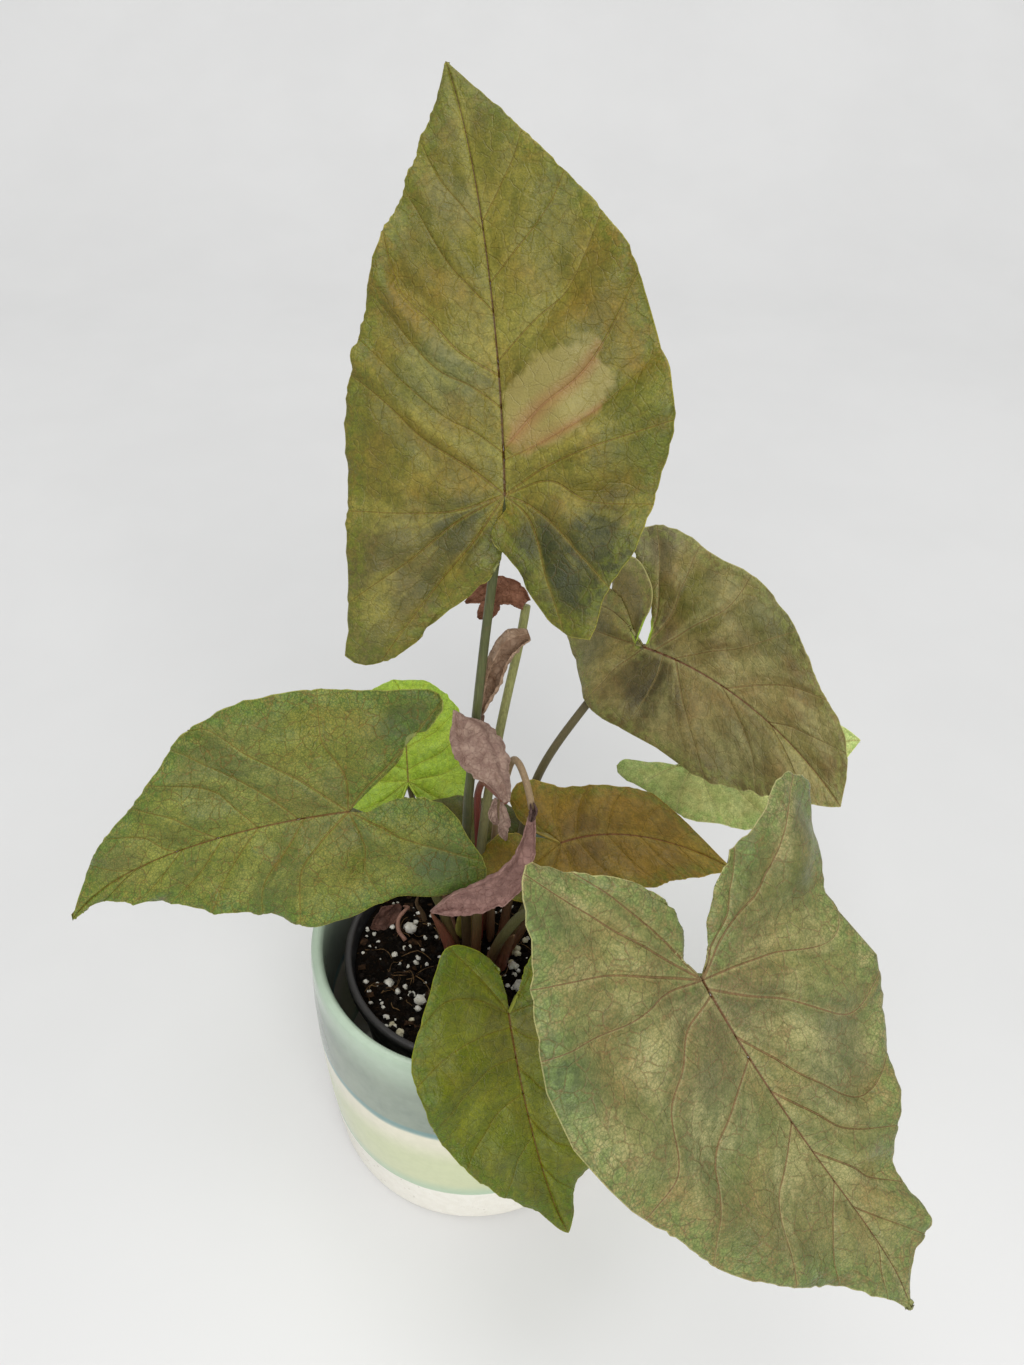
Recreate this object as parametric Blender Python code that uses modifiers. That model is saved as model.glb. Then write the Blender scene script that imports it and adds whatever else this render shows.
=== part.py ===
# An arrowhead plant in a plastic nursery pot, standing in a glazed stoneware cover pot.
# Metres, +Z up. The origin is the middle of the cover pot's flat foot, and the plant leans towards -Y.
import itertools
import math
import random

import bmesh
import bpy
from mathutils import Matrix, Vector

MM = 0.001
GAP = 0.3               # mm of clearance between pieces that touch
TURN_STEPS = 48         # steps of a turned piece
SEED = 11

# Cover pot, in mm: radius and height down its outer side, and from the middle of its inside up to the rim
COVER_HEIGHT = 123.0
COVER_FLOOR = 8.0
COVER_OUTER = [(64.6, 122.2), (65.2, 119.0), (65.6, 112.0), (66.6, 95.0), (67.2, 72.0), (67.0, 45.0),
               (66.0, 20.0), (65.0, 5.0), (64.0, 1.2), (62.5, 0.0)]
COVER_INNER = [(0.0, COVER_FLOOR), (52.0, COVER_FLOOR), (57.5, 11.0), (60.6, 30.0), (61.2, 70.0),
               (60.8, 105.0), (60.2, 118.0), (60.8, 121.6), (62.2, COVER_HEIGHT), (63.6, 122.9)]

# Nursery pot, in mm
NURSERY_FOOT = COVER_FLOOR + GAP
NURSERY_RIM_HEIGHT = 112.4
NURSERY_TOP_RADIUS = 50.6
NURSERY_FOOT_RADIUS = 40.0
NURSERY_WALL = 1.2
NURSERY_LIP = 1.8
NURSERY_LIP_DEPTH = 5.0
DRAIN_HOLES = 6
DRAIN_RADIUS = 4.0
DRAIN_RING = 0.62       # of the foot's radius, and the turn of the first hole as a share of one step
DRAIN_TURN = 0.27

# Soil, in mm
SOIL_LEVEL = 105.0
SOIL_RINGS = 11
SOIL_SPOKES = 40
SOIL_CRUMB = 0.7
SOIL_LUMP = 1.5
SOIL_LUMP_SHARE = 0.16
SOIL_MOUND = 1.2
PETIOLE_DEPTH = 14.0
STALK_RISE = 3.0        # how far a stalk stands straight above the soil's level
HOLE_SIDES = 12

# Leaves. Across and along are mm in the blade, from the place where it meets its stalk:
# along is 0 there, positive to the tip and negative in the two lobes at the back. Each side is listed
# from beside the stalk, round its lobe, to the tip. lobe_lift raises right and left lobe for each mm back.
BLADE_THICKNESS = 0.7
BLADE_CAMBER = 0.0016
LOBE_VEINS = 3          # side veins of each half that leave the stalk's end, and those that leave the midrib
MIDRIB_VEINS = 5
VEIN_LEAN = 0.7         # how far a side vein runs towards the tip for each mm across
VEIN_BOW = 0.09
QUILT = 0.9             # height of the blade between two side veins
MARGIN_WAVES = 4.5      # waves along each margin, and the finer ones on them
RIPPLE_WAVES = 10.35
RIPPLE_SHARE = 0.35
VEIN_SPACING = 12       # the blade is flatter where its side veins are closer than this,
FLAT_LENGTH = 25        # or shorter than this
EDGE_TURN = 5           # degrees that the lobe's edge beside the sinus may turn back round the stalk's end
MARGIN_STEPS = 240
LARGE_GRID = (3, 5)     # steps between two side veins, and from the midrib to the margin
SMALL_GRID = (2, 4)
SMALL_LENGTH = 82

LEAVES = {
    "top": dict(
        joint=(15, 6, 327), toward=(-0.02, 0.50, 0.87), face=(-0.21, -0.85, 0.48),
        droop=11, sway=-12, fold=8, wave=1.3, lobe_lift=(0.30, 0), tip=(-2, 124),
        right=[(0.4, -4), (-3, -9), (-3, -14), (4, -20), (9, -28), (16, -37), (27, -40), (31, -29), (40, -14),
               (46, 4), (51, 25), (46, 46), (43, 62), (34, 80), (22, 94), (8, 112)],
        left=[(1, -5), (2, -20), (13, -31), (23, -38), (31, -46), (41, -51), (51, -50), (50, -40), (49, -20),
              (49, 8), (46, 31), (40, 50), (33, 68), (24, 84), (14, 101), (6, 115)],
        petiole=[(-2, 3, 105), (-1, 5, 165), (3.5, 6, 224), (10, 8, 286)], radius=(2.0, 1.5)),
    "upper_right": dict(
        joint=(66.5, 45, 236), toward=(0.85, -0.52, 0.05), face=(-0.43, -0.64, 0.64),
        droop=14, sway=49, fold=8, wave=1.4, lobe_lift=(-0.25, 0.2), tip=(1, 85),
        right=[(0.4, -3), (-5, -7), (-13, -13), (-18, -23), (-13, -34), (-4, -40), (8, -33), (20, -22),
               (28, -14), (32, 4), (34, 27), (31, 43), (20, 62), (7, 79)],
        left=[(6, -4), (14, -2), (22, -4), (29, -11), (37, -15), (44, -11), (45, 2), (41, 16), (41, 32),
              (35, 50), (25, 64), (20, 77), (10, 83)],
        petiole=[(12.5, 6, 105), (19, 18, 145), (27, 30, 181), (45, 42, 208), (60, 50, 223)],
        radius=(2.0, 1.6)),
    "behind": dict(
        joint=(96, 58, 165), toward=(0.98, 0.02, 0.15), face=(-0.15, -0.45, 0.88),
        droop=10, sway=0, fold=6, wave=1.3, lobe_lift=(0, 0), tip=(0, 69),
        right=[(3, -8), (0, -20), (-3, -32), (4, -34), (14, -22), (27, -9), (31, 6), (34, 19), (26, 36),
               (14, 54), (5, 64)],
        left=[(5, -6), (10, -16), (18, -22), (28, -14), (31, 0), (30, 14), (25, 32), (16, 50), (7, 62)],
        petiole=[(15.5, 0.5, 105), (32, 14, 128), (64, 45, 143), (87, 57, 152)], radius=(1.9, 1.4)),
    "brown": dict(
        joint=(36, 3, 174), toward=(0.93, 0.15, 0.33), face=(-0.17, -0.62, 0.77),
        droop=9, sway=102, fold=6, wave=1.1, lobe_lift=(0, 0), tip=(1, 58),
        right=[(-4, -6), (-9, -16), (-11, -22), (-8, -29), (-3, -33), (8, -30), (18, -20), (24, -5), (21, 10),
               (21, 25), (17, 34), (11, 45), (6, 52)],
        left=[(5, -4), (10, -11), (18, -14), (25, -12), (27, -4), (21, 6), (20, 14), (20, 28), (20, 38),
              (12, 47), (3, 54)],
        petiole=[(12, -4, 105), (20, -3, 135), (30, 0, 160)], radius=(1.9, 1.4)),
    "dark": dict(
        joint=(5, 29, 141), toward=(-0.85, 0.35, -0.10), face=(-0.10, -0.45, 0.89),
        droop=9, sway=0, fold=7, wave=0.9, lobe_lift=(0, 0), tip=(0, 46),
        right=[(3, -4), (6, -11), (13, -15), (19, -8), (20, 4), (18, 18), (12, 32), (5, 41)],
        left=[(3, -4), (6, -9), (11, -12), (14, -6), (15, 4), (14, 18), (9, 32), (4, 41)],
        petiole=[(6, 13, 105), (6.5, 19, 123)], radius=(1.8, 1.3)),
    "left": dict(
        joint=(-41, -9, 205), toward=(-0.99, -0.08, -0.09), face=(0.03, -0.89, 0.45),
        droop=8, sway=-23, fold=8, wave=1.5, lobe_lift=(0, 0), tip=(-8, 109),
        right=[(6, -7), (11, -13), (19, -22), (27, -25), (28, -33), (37, -39), (43, -34), (44, -16), (46, 0),
               (48, 15), (47, 34), (41, 54), (31, 65), (23, 76), (12, 94), (3, 102)],
        left=[(1, -7), (-2, -17), (1, -31), (12, -40), (29, -46), (35, -28), (35, -10), (40, 8), (40, 22),
              (33, 37), (28, 48), (21, 66), (15, 78), (7, 97), (8, 106)],
        petiole=[(-5, -2, 105), (-14, -1, 150), (-30, -2, 187)], radius=(2.1, 1.6)),
    "lime": dict(
        joint=(-29, 67, 140), toward=(-0.08, 0.82, 0.50), face=(0.03, -0.52, 0.85),
        droop=40, sway=0, fold=7, wave=0.9, lobe_lift=(0, 0), tip=(-5, 52),
        right=[(3, -6), (7, -14), (16, -20), (25, -13), (28, 0), (28, 15), (26, 29), (18, 42), (6, 50)],
        left=[(3, -6), (6, -14), (15, -20), (24, -14), (27, 0), (27, 14), (25, 28), (20, 40), (12, 48)],
        petiole=[(-7, 7, 105), (-13, 27, 116), (-22, 47, 124), (-26, 60, 129)], radius=(1.8, 1.3)),
    "small": dict(
        joint=(16, -57, 152), toward=(0.15, -0.67, -0.73), face=(0.38, -0.64, 0.67),
        droop=11, sway=-17, fold=8, wave=1.0, lobe_lift=(0, 0), tip=(-2, 86),
        right=[(0, -8), (2, -18), (9, -25), (19, -28), (27, -17), (35, -2), (39, 10), (37, 27), (31, 43),
               (20, 60), (7, 73), (1, 83)],
        left=[(4, -4), (8, -13), (14, -19), (25, -10), (32, 8), (33, 24), (28, 42), (20, 58), (11, 67),
              (6, 79)],
        petiole=[(1, -8, 105), (5, -26, 128), (12, -45, 145)], radius=(1.9, 1.4)),
    "front": dict(
        joint=(68, -106, 247), toward=(0.49, -0.46, -0.74), face=(0.50, -0.55, 0.67),
        droop=-3, sway=-10, fold=6, wave=1.5, lobe_lift=(0, 0), tip=(8, 116),
        right=[(2, -7), (-2, -14), (-2, -24), (7, -37), (18, -47), (28, -56), (36, -48), (46, -27), (54, -8),
               (56, 8), (54, 27), (48, 42), (42, 62), (31, 79), (20, 92), (11, 107)],
        left=[(7, -5), (11, -13), (22, -21), (33, -23), (44, -25), (56, -29), (66, -21), (60, -6), (51, 13),
              (52, 28), (49, 45), (36, 63), (21, 80), (14, 98), (4, 106)],
        petiole=[(7, -7, 105), (14, -15, 140), (25, -29, 174), (45, -66, 212), (62, -98, 238)],
        radius=(2.1, 1.7)),
}
LEAF_COLOURS = {
    "top": (0.15, 0.16, 0.035), "upper_right": (0.15, 0.12, 0.05), "behind": (0.14, 0.22, 0.06),
    "brown": (0.16, 0.09, 0.02), "dark": (0.05, 0.09, 0.015), "left": (0.12, 0.19, 0.05),
    "lime": (0.28, 0.50, 0.04), "small": (0.13, 0.20, 0.03), "front": (0.15, 0.19, 0.07),
}

# Withered leaves, in mm: middle line from the stalk's end, half width, how far the blade curls (degrees) and
# how far it is turned about its line
WITHERED_GRID = (11, 6)
WITHERED = {
    "upper": dict(line=[(22, 30, 268.5), (17, 31, 274), (9, 31, 275), (3, 30, 270)], width=7.0, curl=190,
                  roll=-20, colour=(0.20, 0.10, 0.06)),
    "rolled": dict(line=[(6.3, 13.2, 232), (9.5, 14, 243), (13, 14, 254), (17.5, 15, 263), (23, 16, 266)],
                   width=9.0, curl=290, roll=0, colour=(0.19, 0.11, 0.07)),
    "middle": dict(line=[(15, -12, 213.5), (12.5, -10, 220.5), (9, -7.5, 226), (4, -4, 231.5),
                         (0.5, 0.5, 235), (-2.5, 6, 239)],
                   width=10.0, curl=120, roll=20, colour=(0.32, 0.19, 0.14)),
    "hanging": dict(line=[(24.2, -7.5, 203.2), (23.2, -13.5, 197), (20.4, -19.5, 191.5), (15.2, -24.5, 187),
                          (7.2, -27.5, 184), (-2, -29, 180.5), (-12, -30, 175)],
                    width=8.0, curl=170, roll=10, colour=(0.19, 0.09, 0.08)),
    "on_soil": dict(line=[(-31, 22, 110), (-37, 17, 109), (-43, 11, 108.5)],
                    width=5.0, curl=100, roll=0, colour=(0.12, 0.05, 0.03)),
}
WITHERED_STALKS = {
    "upper": dict(path=[(2, -2, 105), (5.3, 5, 170), (12, 16, 216), (20, 27, 255), (22, 30, 267.4)],
                  radius=(2.1, 1.6), colour=(0.25, 0.30, 0.10)),
    "rolled": dict(path=[(-2, 8, 105), (-1, 12, 150), (0, 14, 185), (3.5, 14.5, 212), (6, 13, 231)],
                   radius=(1.9, 1.5), colour=(0.12, 0.05, 0.03)),
    "middle": dict(path=[(3, 8, 105), (4, 11, 150), (4, 12, 185), (4.8, 10, 196), (6.8, 5.5, 205),
                         (10.5, -2, 209), (14.8, -11.1, 212.9)],
                   radius=(1.9, 1.3), colour=(0.40, 0.07, 0.07)),
    "hanging": dict(path=[(8, 8, 105), (9, 13, 140), (11, 16, 170), (14, 15, 192), (17, 9, 212),
                          (19.5, 4, 216.5), (22, -1, 213), (23.6, -5, 208), (24.2, -7.2, 204.6)],
                    radius=(1.8, 1.3), colour=(0.36, 0.26, 0.15)),
}

COLLECTION = "arrowhead_plant"


def clear_scene():
    for item in list(bpy.data.objects):
        bpy.data.objects.remove(item, do_unlink=True)


def make_collection(name):
    collection = bpy.data.collections.new(name)
    bpy.context.scene.collection.children.link(collection)
    return collection


def make_material(name, colour, roughness, metallic=0.0):
    material = bpy.data.materials.new(name)
    material.use_nodes = True
    shader = material.node_tree.nodes["Principled BSDF"]
    shader.inputs["Base Color"].default_value = (*colour, 1.0)
    shader.inputs["Roughness"].default_value = roughness
    shader.inputs["Metallic"].default_value = metallic
    material.diffuse_color = (*colour, 1.0)
    return material


def add_object(name, mesh, collection, material=None):
    item = bpy.data.objects.new(name, mesh)
    collection.objects.link(item)
    if material:
        mesh.materials.append(material)
    return item


def mm(point):
    return Vector(point) * MM


def smooth_line(points, steps):
    """A smooth curve through points, with the given steps between each two."""
    ends = [points[0] * 2 - points[1]] + list(points) + [points[-1] * 2 - points[-2]]
    line = []
    for before, start, end, after in zip(ends, ends[1:], ends[2:], ends[3:]):
        for step in range(steps):
            t = step / steps
            line.append(0.5 * (2 * start + (end - before) * t
                               + (2 * before - 5 * start + 4 * end - after) * t * t
                               + (3 * start - before - 3 * end + after) * t ** 3))
    line.append(points[-1].copy())
    return line


def resample(line, count):
    """The same line, cut into count equal steps."""
    lengths = [0.0]
    for a, b in zip(line, line[1:]):
        lengths.append(lengths[-1] + (b - a).length)
    result = []
    piece = 0
    for step in range(count + 1):
        wanted = lengths[-1] * step / count
        while piece < len(line) - 2 and lengths[piece + 1] < wanted:
            piece += 1
        share = (wanted - lengths[piece]) / max(lengths[piece + 1] - lengths[piece], 1e-12)
        result.append(line[piece].lerp(line[piece + 1], share))
    return result


def turned_piece(name, profile, collection, material):
    """A solid or shell turned about Z from a profile that runs down its outer side."""
    shape = bmesh.new()
    last = None
    for radius, height in profile:
        point = shape.verts.new(mm((radius, 0, height)))
        if last:
            shape.edges.new((last, point))
        last = point
    mesh = bpy.data.meshes.new(name)
    shape.to_mesh(mesh)
    shape.free()
    item = add_object(name, mesh, collection, material)
    screw = item.modifiers.new("turn", 'SCREW')
    screw.steps = TURN_STEPS
    screw.render_steps = TURN_STEPS
    screw.use_merge_vertices = True
    screw.merge_threshold = 0.00005
    screw.use_smooth_shade = True
    return item


def make_mesh_of(item):
    """Turns an object with its modifiers into a plain mesh, with its doubles merged."""
    name = item.name
    collection = item.users_collection[0]
    evaluated = item.evaluated_get(bpy.context.evaluated_depsgraph_get())
    mesh = bpy.data.meshes.new_from_object(evaluated)
    place = item.matrix_world.copy()
    bpy.data.objects.remove(item, do_unlink=True)
    shape = bmesh.new()
    shape.from_mesh(mesh)
    bmesh.ops.remove_doubles(shape, verts=shape.verts, dist=1e-6)
    bmesh.ops.dissolve_degenerate(shape, dist=1e-6, edges=shape.edges)
    shape.to_mesh(mesh)
    shape.free()
    solid = bpy.data.objects.new(name, mesh)
    solid.matrix_world = place
    collection.objects.link(solid)
    return solid


def cut(item, cutter):
    modifier = item.modifiers.new("cut", 'BOOLEAN')
    modifier.operation = 'DIFFERENCE'
    modifier.object = cutter
    modifier.solver = 'EXACT'


def cylinder_between(name, start, end, radius, collection, sides=16):
    shape = bmesh.new()
    length = (end - start).length
    turn = (end - start).to_track_quat('Z', 'Y').to_matrix().to_4x4()
    place = Matrix.Translation((start + end) / 2) @ turn
    bmesh.ops.create_cone(shape, cap_ends=True, segments=sides, radius1=radius, radius2=radius,
                          depth=length, matrix=place)
    mesh = bpy.data.meshes.new(name)
    shape.to_mesh(mesh)
    shape.free()
    item = add_object(name, mesh, collection)
    item.hide_render = True
    item.display_type = 'WIRE'
    return item


# Pots and soil

def nursery_radius(height):
    share = (height - NURSERY_FOOT) / (NURSERY_RIM_HEIGHT - NURSERY_FOOT)
    return NURSERY_FOOT_RADIUS + (NURSERY_TOP_RADIUS - NURSERY_FOOT_RADIUS) * share


def build_cover_pot(collection):
    glaze = make_material("celadon_glaze", (0.35, 0.47, 0.38), 0.18)
    turned_piece("cover_pot", COVER_INNER + COVER_OUTER + [(0.0, 0.0)], collection, glaze)


def build_nursery_pot(collection, cutters):
    black = make_material("black_plastic", (0.012, 0.012, 0.013), 0.45)
    floor = NURSERY_FOOT + NURSERY_WALL
    lip_foot = NURSERY_RIM_HEIGHT - NURSERY_LIP_DEPTH
    inner = [(0.0, floor), (nursery_radius(floor) - NURSERY_WALL, floor),
             (NURSERY_TOP_RADIUS - NURSERY_WALL, NURSERY_RIM_HEIGHT - 0.4)]
    lip_radius = NURSERY_TOP_RADIUS + NURSERY_LIP
    outer = [(NURSERY_TOP_RADIUS, NURSERY_RIM_HEIGHT), (lip_radius, NURSERY_RIM_HEIGHT - 0.6),
             (lip_radius, lip_foot), (nursery_radius(lip_foot), lip_foot - 0.5),
             (NURSERY_FOOT_RADIUS, NURSERY_FOOT + 1.0), (NURSERY_FOOT_RADIUS - 1.0, NURSERY_FOOT),
             (0.0, NURSERY_FOOT)]
    pot = make_mesh_of(turned_piece("nursery_pot", inner + outer, collection, black))
    for hole in range(DRAIN_HOLES):
        angle = 2 * math.pi * (hole + DRAIN_TURN) / DRAIN_HOLES
        middle = Vector((math.cos(angle), math.sin(angle), 0)) * NURSERY_FOOT_RADIUS * DRAIN_RING * MM
        low = middle + mm((0, 0, NURSERY_FOOT - 2))
        high = middle + mm((0, 0, floor + 2))
        cut(pot, cylinder_between("drain_cutter", low, high, DRAIN_RADIUS * MM, cutters))


def soil_relief(point, rng):
    """Height in mm that a place on the soil stands above its level: crumbs, with a lump here and there."""
    crumb = rng.uniform(-SOIL_CRUMB, SOIL_CRUMB)
    lump = SOIL_LUMP * rng.uniform(0.6, 1.4) if rng.random() < SOIL_LUMP_SHARE else 0.0
    mound = math.cos(min(point.length / (NURSERY_TOP_RADIUS * MM), 1.0) * math.pi / 2)
    return crumb + lump + SOIL_MOUND * mound


def build_soil(collection, cutters, stalks):
    earth = make_material("potting_soil", (0.03, 0.02, 0.014), 0.95)
    foot = NURSERY_FOOT + NURSERY_WALL + GAP
    rim = nursery_radius(SOIL_LEVEL) - NURSERY_WALL - GAP
    top = [(rim * ring / SOIL_RINGS, SOIL_LEVEL) for ring in range(SOIL_RINGS + 1)]
    side = [(nursery_radius(height) - NURSERY_WALL - GAP, height) for height in (SOIL_LEVEL - 4, foot + 1)]
    side[-1] = (side[-1][0] - 0.4, side[-1][1])
    profile = top + side + [(side[-1][0] - 1.0, foot), (0.0, foot)]
    soil = turned_piece("soil", profile, collection, earth)
    soil.modifiers["turn"].steps = SOIL_SPOKES
    soil.modifiers["turn"].render_steps = SOIL_SPOKES
    soil = make_mesh_of(soil)
    rng = random.Random(SEED)
    for vertex in soil.data.vertices:
        flat = Vector((vertex.co.x, vertex.co.y))
        if vertex.co.z > (SOIL_LEVEL - 1) * MM and flat.length < (rim - 1) * MM:
            vertex.co.z += soil_relief(flat, rng) * MM
    for name, path, radius in stalks:
        start = stalk_foot(path)
        hole = (radius[0] + GAP) / math.cos(math.pi / HOLE_SIDES) * MM
        low = start - mm((0, 0, GAP))
        high = mm(path[0]) + mm((0, 0, 2 * STALK_RISE))
        cut(soil, cylinder_between(name + "_hole", low, high, hole, cutters, HOLE_SIDES))


# Stalks

def stalk_foot(path):
    """Where a stalk ends in the soil."""
    return mm(path[0]) - mm((0, 0, PETIOLE_DEPTH))


def build_stalk(name, path, radius, steps, collection, material):
    """A tapering stalk: straight in the soil, then a smooth curve through its path."""
    start = stalk_foot(path)
    above = mm(path[0]) + mm((0, 0, STALK_RISE))
    line = [start] + resample(smooth_line([above] + [mm(point) for point in path[1:]], 8), steps)
    curve = bpy.data.curves.new(name, 'CURVE')
    curve.dimensions = '3D'
    curve.bevel_depth = MM
    curve.bevel_resolution = 2
    curve.use_fill_caps = True
    spline = curve.splines.new('POLY')
    spline.points.add(len(line) - 1)
    for index, (place, point) in enumerate(zip(line, spline.points)):
        share = max(0, index - 1) / (len(line) - 2)
        point.co = (*place, 1)
        point.radius = radius[1] + (radius[0] - radius[1]) * (1 - share) ** 1.5
    curve.materials.append(material)
    item = bpy.data.objects.new(name, curve)
    collection.objects.link(item)


def petiole_path(leaf):
    """The leaf's stalk, ending just under its blade."""
    joint = Vector(leaf["joint"])
    across, toward, face = leaf_axes(leaf)
    arrive = (joint - Vector(leaf["petiole"][-1])).normalized()
    tilt = arrive.cross(face).length
    end = joint - face * (BLADE_THICKNESS + GAP + leaf["radius"][1] * tilt)
    return leaf["petiole"] + [tuple(end)]


# Blades

def leaf_axes(leaf):
    """Directions across the blade, along its midrib and out of its upper face."""
    toward = Vector(leaf["toward"]).normalized()
    face = Vector(leaf["face"])
    face = (face - toward * face.dot(toward)).normalized()
    return toward.cross(face), toward, face


def spine_across(leaf, along):
    tip_across, length = leaf["tip"]
    return tip_across * max(along / length, 0) ** 8


def outline_points(leaf, side):
    """The margin of a half, how far up the midrib its points' side veins start, and its lobe's last point."""
    turn = 1 if side == "right" else -1
    knots = [Vector((across * turn, along, 0)) for across, along in leaf[side]] + [Vector((*leaf["tip"], 0))]
    margin = resample(smooth_line(knots, 12), MARGIN_STEPS)
    reach = [point.y - VEIN_LEAN * abs(point.x) for point in margin]
    widest = next(i for i, value in enumerate(reach) if value > 0)
    return margin, reach, widest


def lobe_start(margin, widest, side):
    """The margin point from which the lobe's lines turn steadily round the stalk's end."""
    turn = 1 if side == "right" else -1
    angles = [math.atan2(point.x * turn, -point.y) for point in margin[:widest]]
    farthest = itertools.accumulate(angles, max)
    turned_back = [angle for angle, far in zip(angles, farthest) if angle < far]
    lowest = min(turned_back, default=angles[0]) + math.radians(EDGE_TURN)
    return max(i for i, angle in enumerate(angles) if angle < lowest)


def point_on(margin, place):
    low = min(int(place), len(margin) - 2)
    return margin[low].lerp(margin[low + 1], place - low)


def blade_rows(leaf, side, steps, outward):
    """The grid of a half blade, flat: rows from the stalk's end, then from the midrib, to the margin."""
    margin, reach, widest = outline_points(leaf, side)
    length = leaf["tip"][1]
    shares = [i / outward for i in range(outward + 1)]
    joint = Vector((0, 0, 0))
    start = lobe_start(margin, widest, side)
    edge = resample([joint] + margin[:start + 1], outward)
    bends = [point - joint.lerp(margin[start], out) for point, out in zip(edge, shares)]
    lobe_steps = LOBE_VEINS * steps
    rows = []
    for k in range(lobe_steps):
        share = k / lobe_steps
        end = point_on(margin, start + (widest - start) * share)
        rows.append([joint.lerp(end, out) + bend * (1 - share) for out, bend in zip(shares, bends)])
    rib_steps = MIDRIB_VEINS * steps
    place = widest
    for k in range(rib_steps + 1):
        along = length * k / rib_steps
        while place < len(reach) - 1 and reach[place] < along:
            place += 1
        end = margin[-1] if k == rib_steps else margin[place]
        foot = Vector((spine_across(leaf, along), along, 0))
        bow = 4 * VEIN_BOW * (end - foot).length if k else 0
        rows.append([foot.lerp(end, out) - Vector((0, bow * out * (1 - out), 0)) for out in shares])
    return rows


def blade_surface(leaf, across, along, lift):
    """The place in space of a point of the blade, lifted off its surface by lift."""
    side_way, toward, face = leaf_axes(leaf)
    bend = math.radians(leaf["droop"]) / 100 if along > 0 else 1e-6
    angle = bend * along
    sway = 0.5 * math.radians(leaf["sway"]) / 100 * max(along, 0) ** 2
    place = Vector(leaf["joint"]) + toward * (math.sin(angle) / bend) - face * ((1 - math.cos(angle)) / bend)
    upward = face * math.cos(angle) + toward * math.sin(angle)
    fold = math.radians(leaf["fold"])
    height = abs(across) * math.sin(fold) - BLADE_CAMBER * across * across + lift
    return place + side_way * (sway + across * math.cos(fold)) + upward * height


def blade_lift(leaf, line_share, veins, out):
    """Quilting between the side veins, and the waves of the margin."""
    quilt = QUILT * math.sin(math.pi * line_share * veins) ** 2 * math.sin(math.pi * min(out * 1.1, 1)) ** 0.7
    phase = sum(leaf["joint"])
    wave = leaf["wave"] * out ** 3 * math.sin(2 * math.pi * MARGIN_WAVES * line_share + phase)
    ripple = leaf["wave"] * out ** 3 * math.sin(2 * math.pi * RIPPLE_WAVES * line_share + 2 * phase)
    return (quilt + wave + RIPPLE_SHARE * ripple) * min(1, 6 * out)


def half_blade(leaf, side, grid):
    steps, outward = grid
    rows = blade_rows(leaf, side, steps, outward)
    veins = LOBE_VEINS + MIDRIB_VEINS
    lobe_lift = leaf["lobe_lift"][side == "left"]
    last = len(rows) - 1
    half = bmesh.new()
    bmesh.ops.create_grid(half, x_segments=last, y_segments=outward, size=0.5)
    for vertex in half.verts:
        line_share = vertex.co.x + 0.5
        out = vertex.co.y + 0.5
        k = round(line_share * last)
        step = round(out * outward)
        point = rows[k][step]
        spacing = (rows[min(k + 1, last)][step] - rows[max(k - 1, 0)][step]).length / 2 * steps
        flat = min(1, spacing / VEIN_SPACING) * min(1, (rows[k][-1] - rows[k][0]).length / FLAT_LENGTH)
        lift = blade_lift(leaf, line_share, veins, out) * flat + lobe_lift * max(0, -point.y)
        vertex.co = blade_surface(leaf, point.x, point.y, lift) * MM
    return half


def build_blade(name, leaf, collection, material):
    grid = LARGE_GRID if leaf["tip"][1] > SMALL_LENGTH else SMALL_GRID
    face = leaf_axes(leaf)[2]
    sheet = bmesh.new()
    for side in ("right", "left"):
        half = half_blade(leaf, side, grid)
        bmesh.ops.remove_doubles(half, verts=half.verts, dist=2e-5)
        half.normal_update()
        if sum((f.normal * f.calc_area() for f in half.faces), Vector()).dot(face) < 0:
            bmesh.ops.reverse_faces(half, faces=half.faces)
        mesh = bpy.data.meshes.new("half")
        half.to_mesh(mesh)
        half.free()
        sheet.from_mesh(mesh)
        bpy.data.meshes.remove(mesh)
    bmesh.ops.remove_doubles(sheet, verts=sheet.verts, dist=2e-5)
    bmesh.ops.triangulate(sheet, faces=sheet.faces)
    mesh = bpy.data.meshes.new(name)
    sheet.to_mesh(mesh)
    sheet.free()
    mesh.shade_smooth()
    item = add_object(name, mesh, collection, material)
    thick = item.modifiers.new("thickness", 'SOLIDIFY')
    thick.thickness = BLADE_THICKNESS * MM
    thick.offset = -1


# Withered leaves

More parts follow.
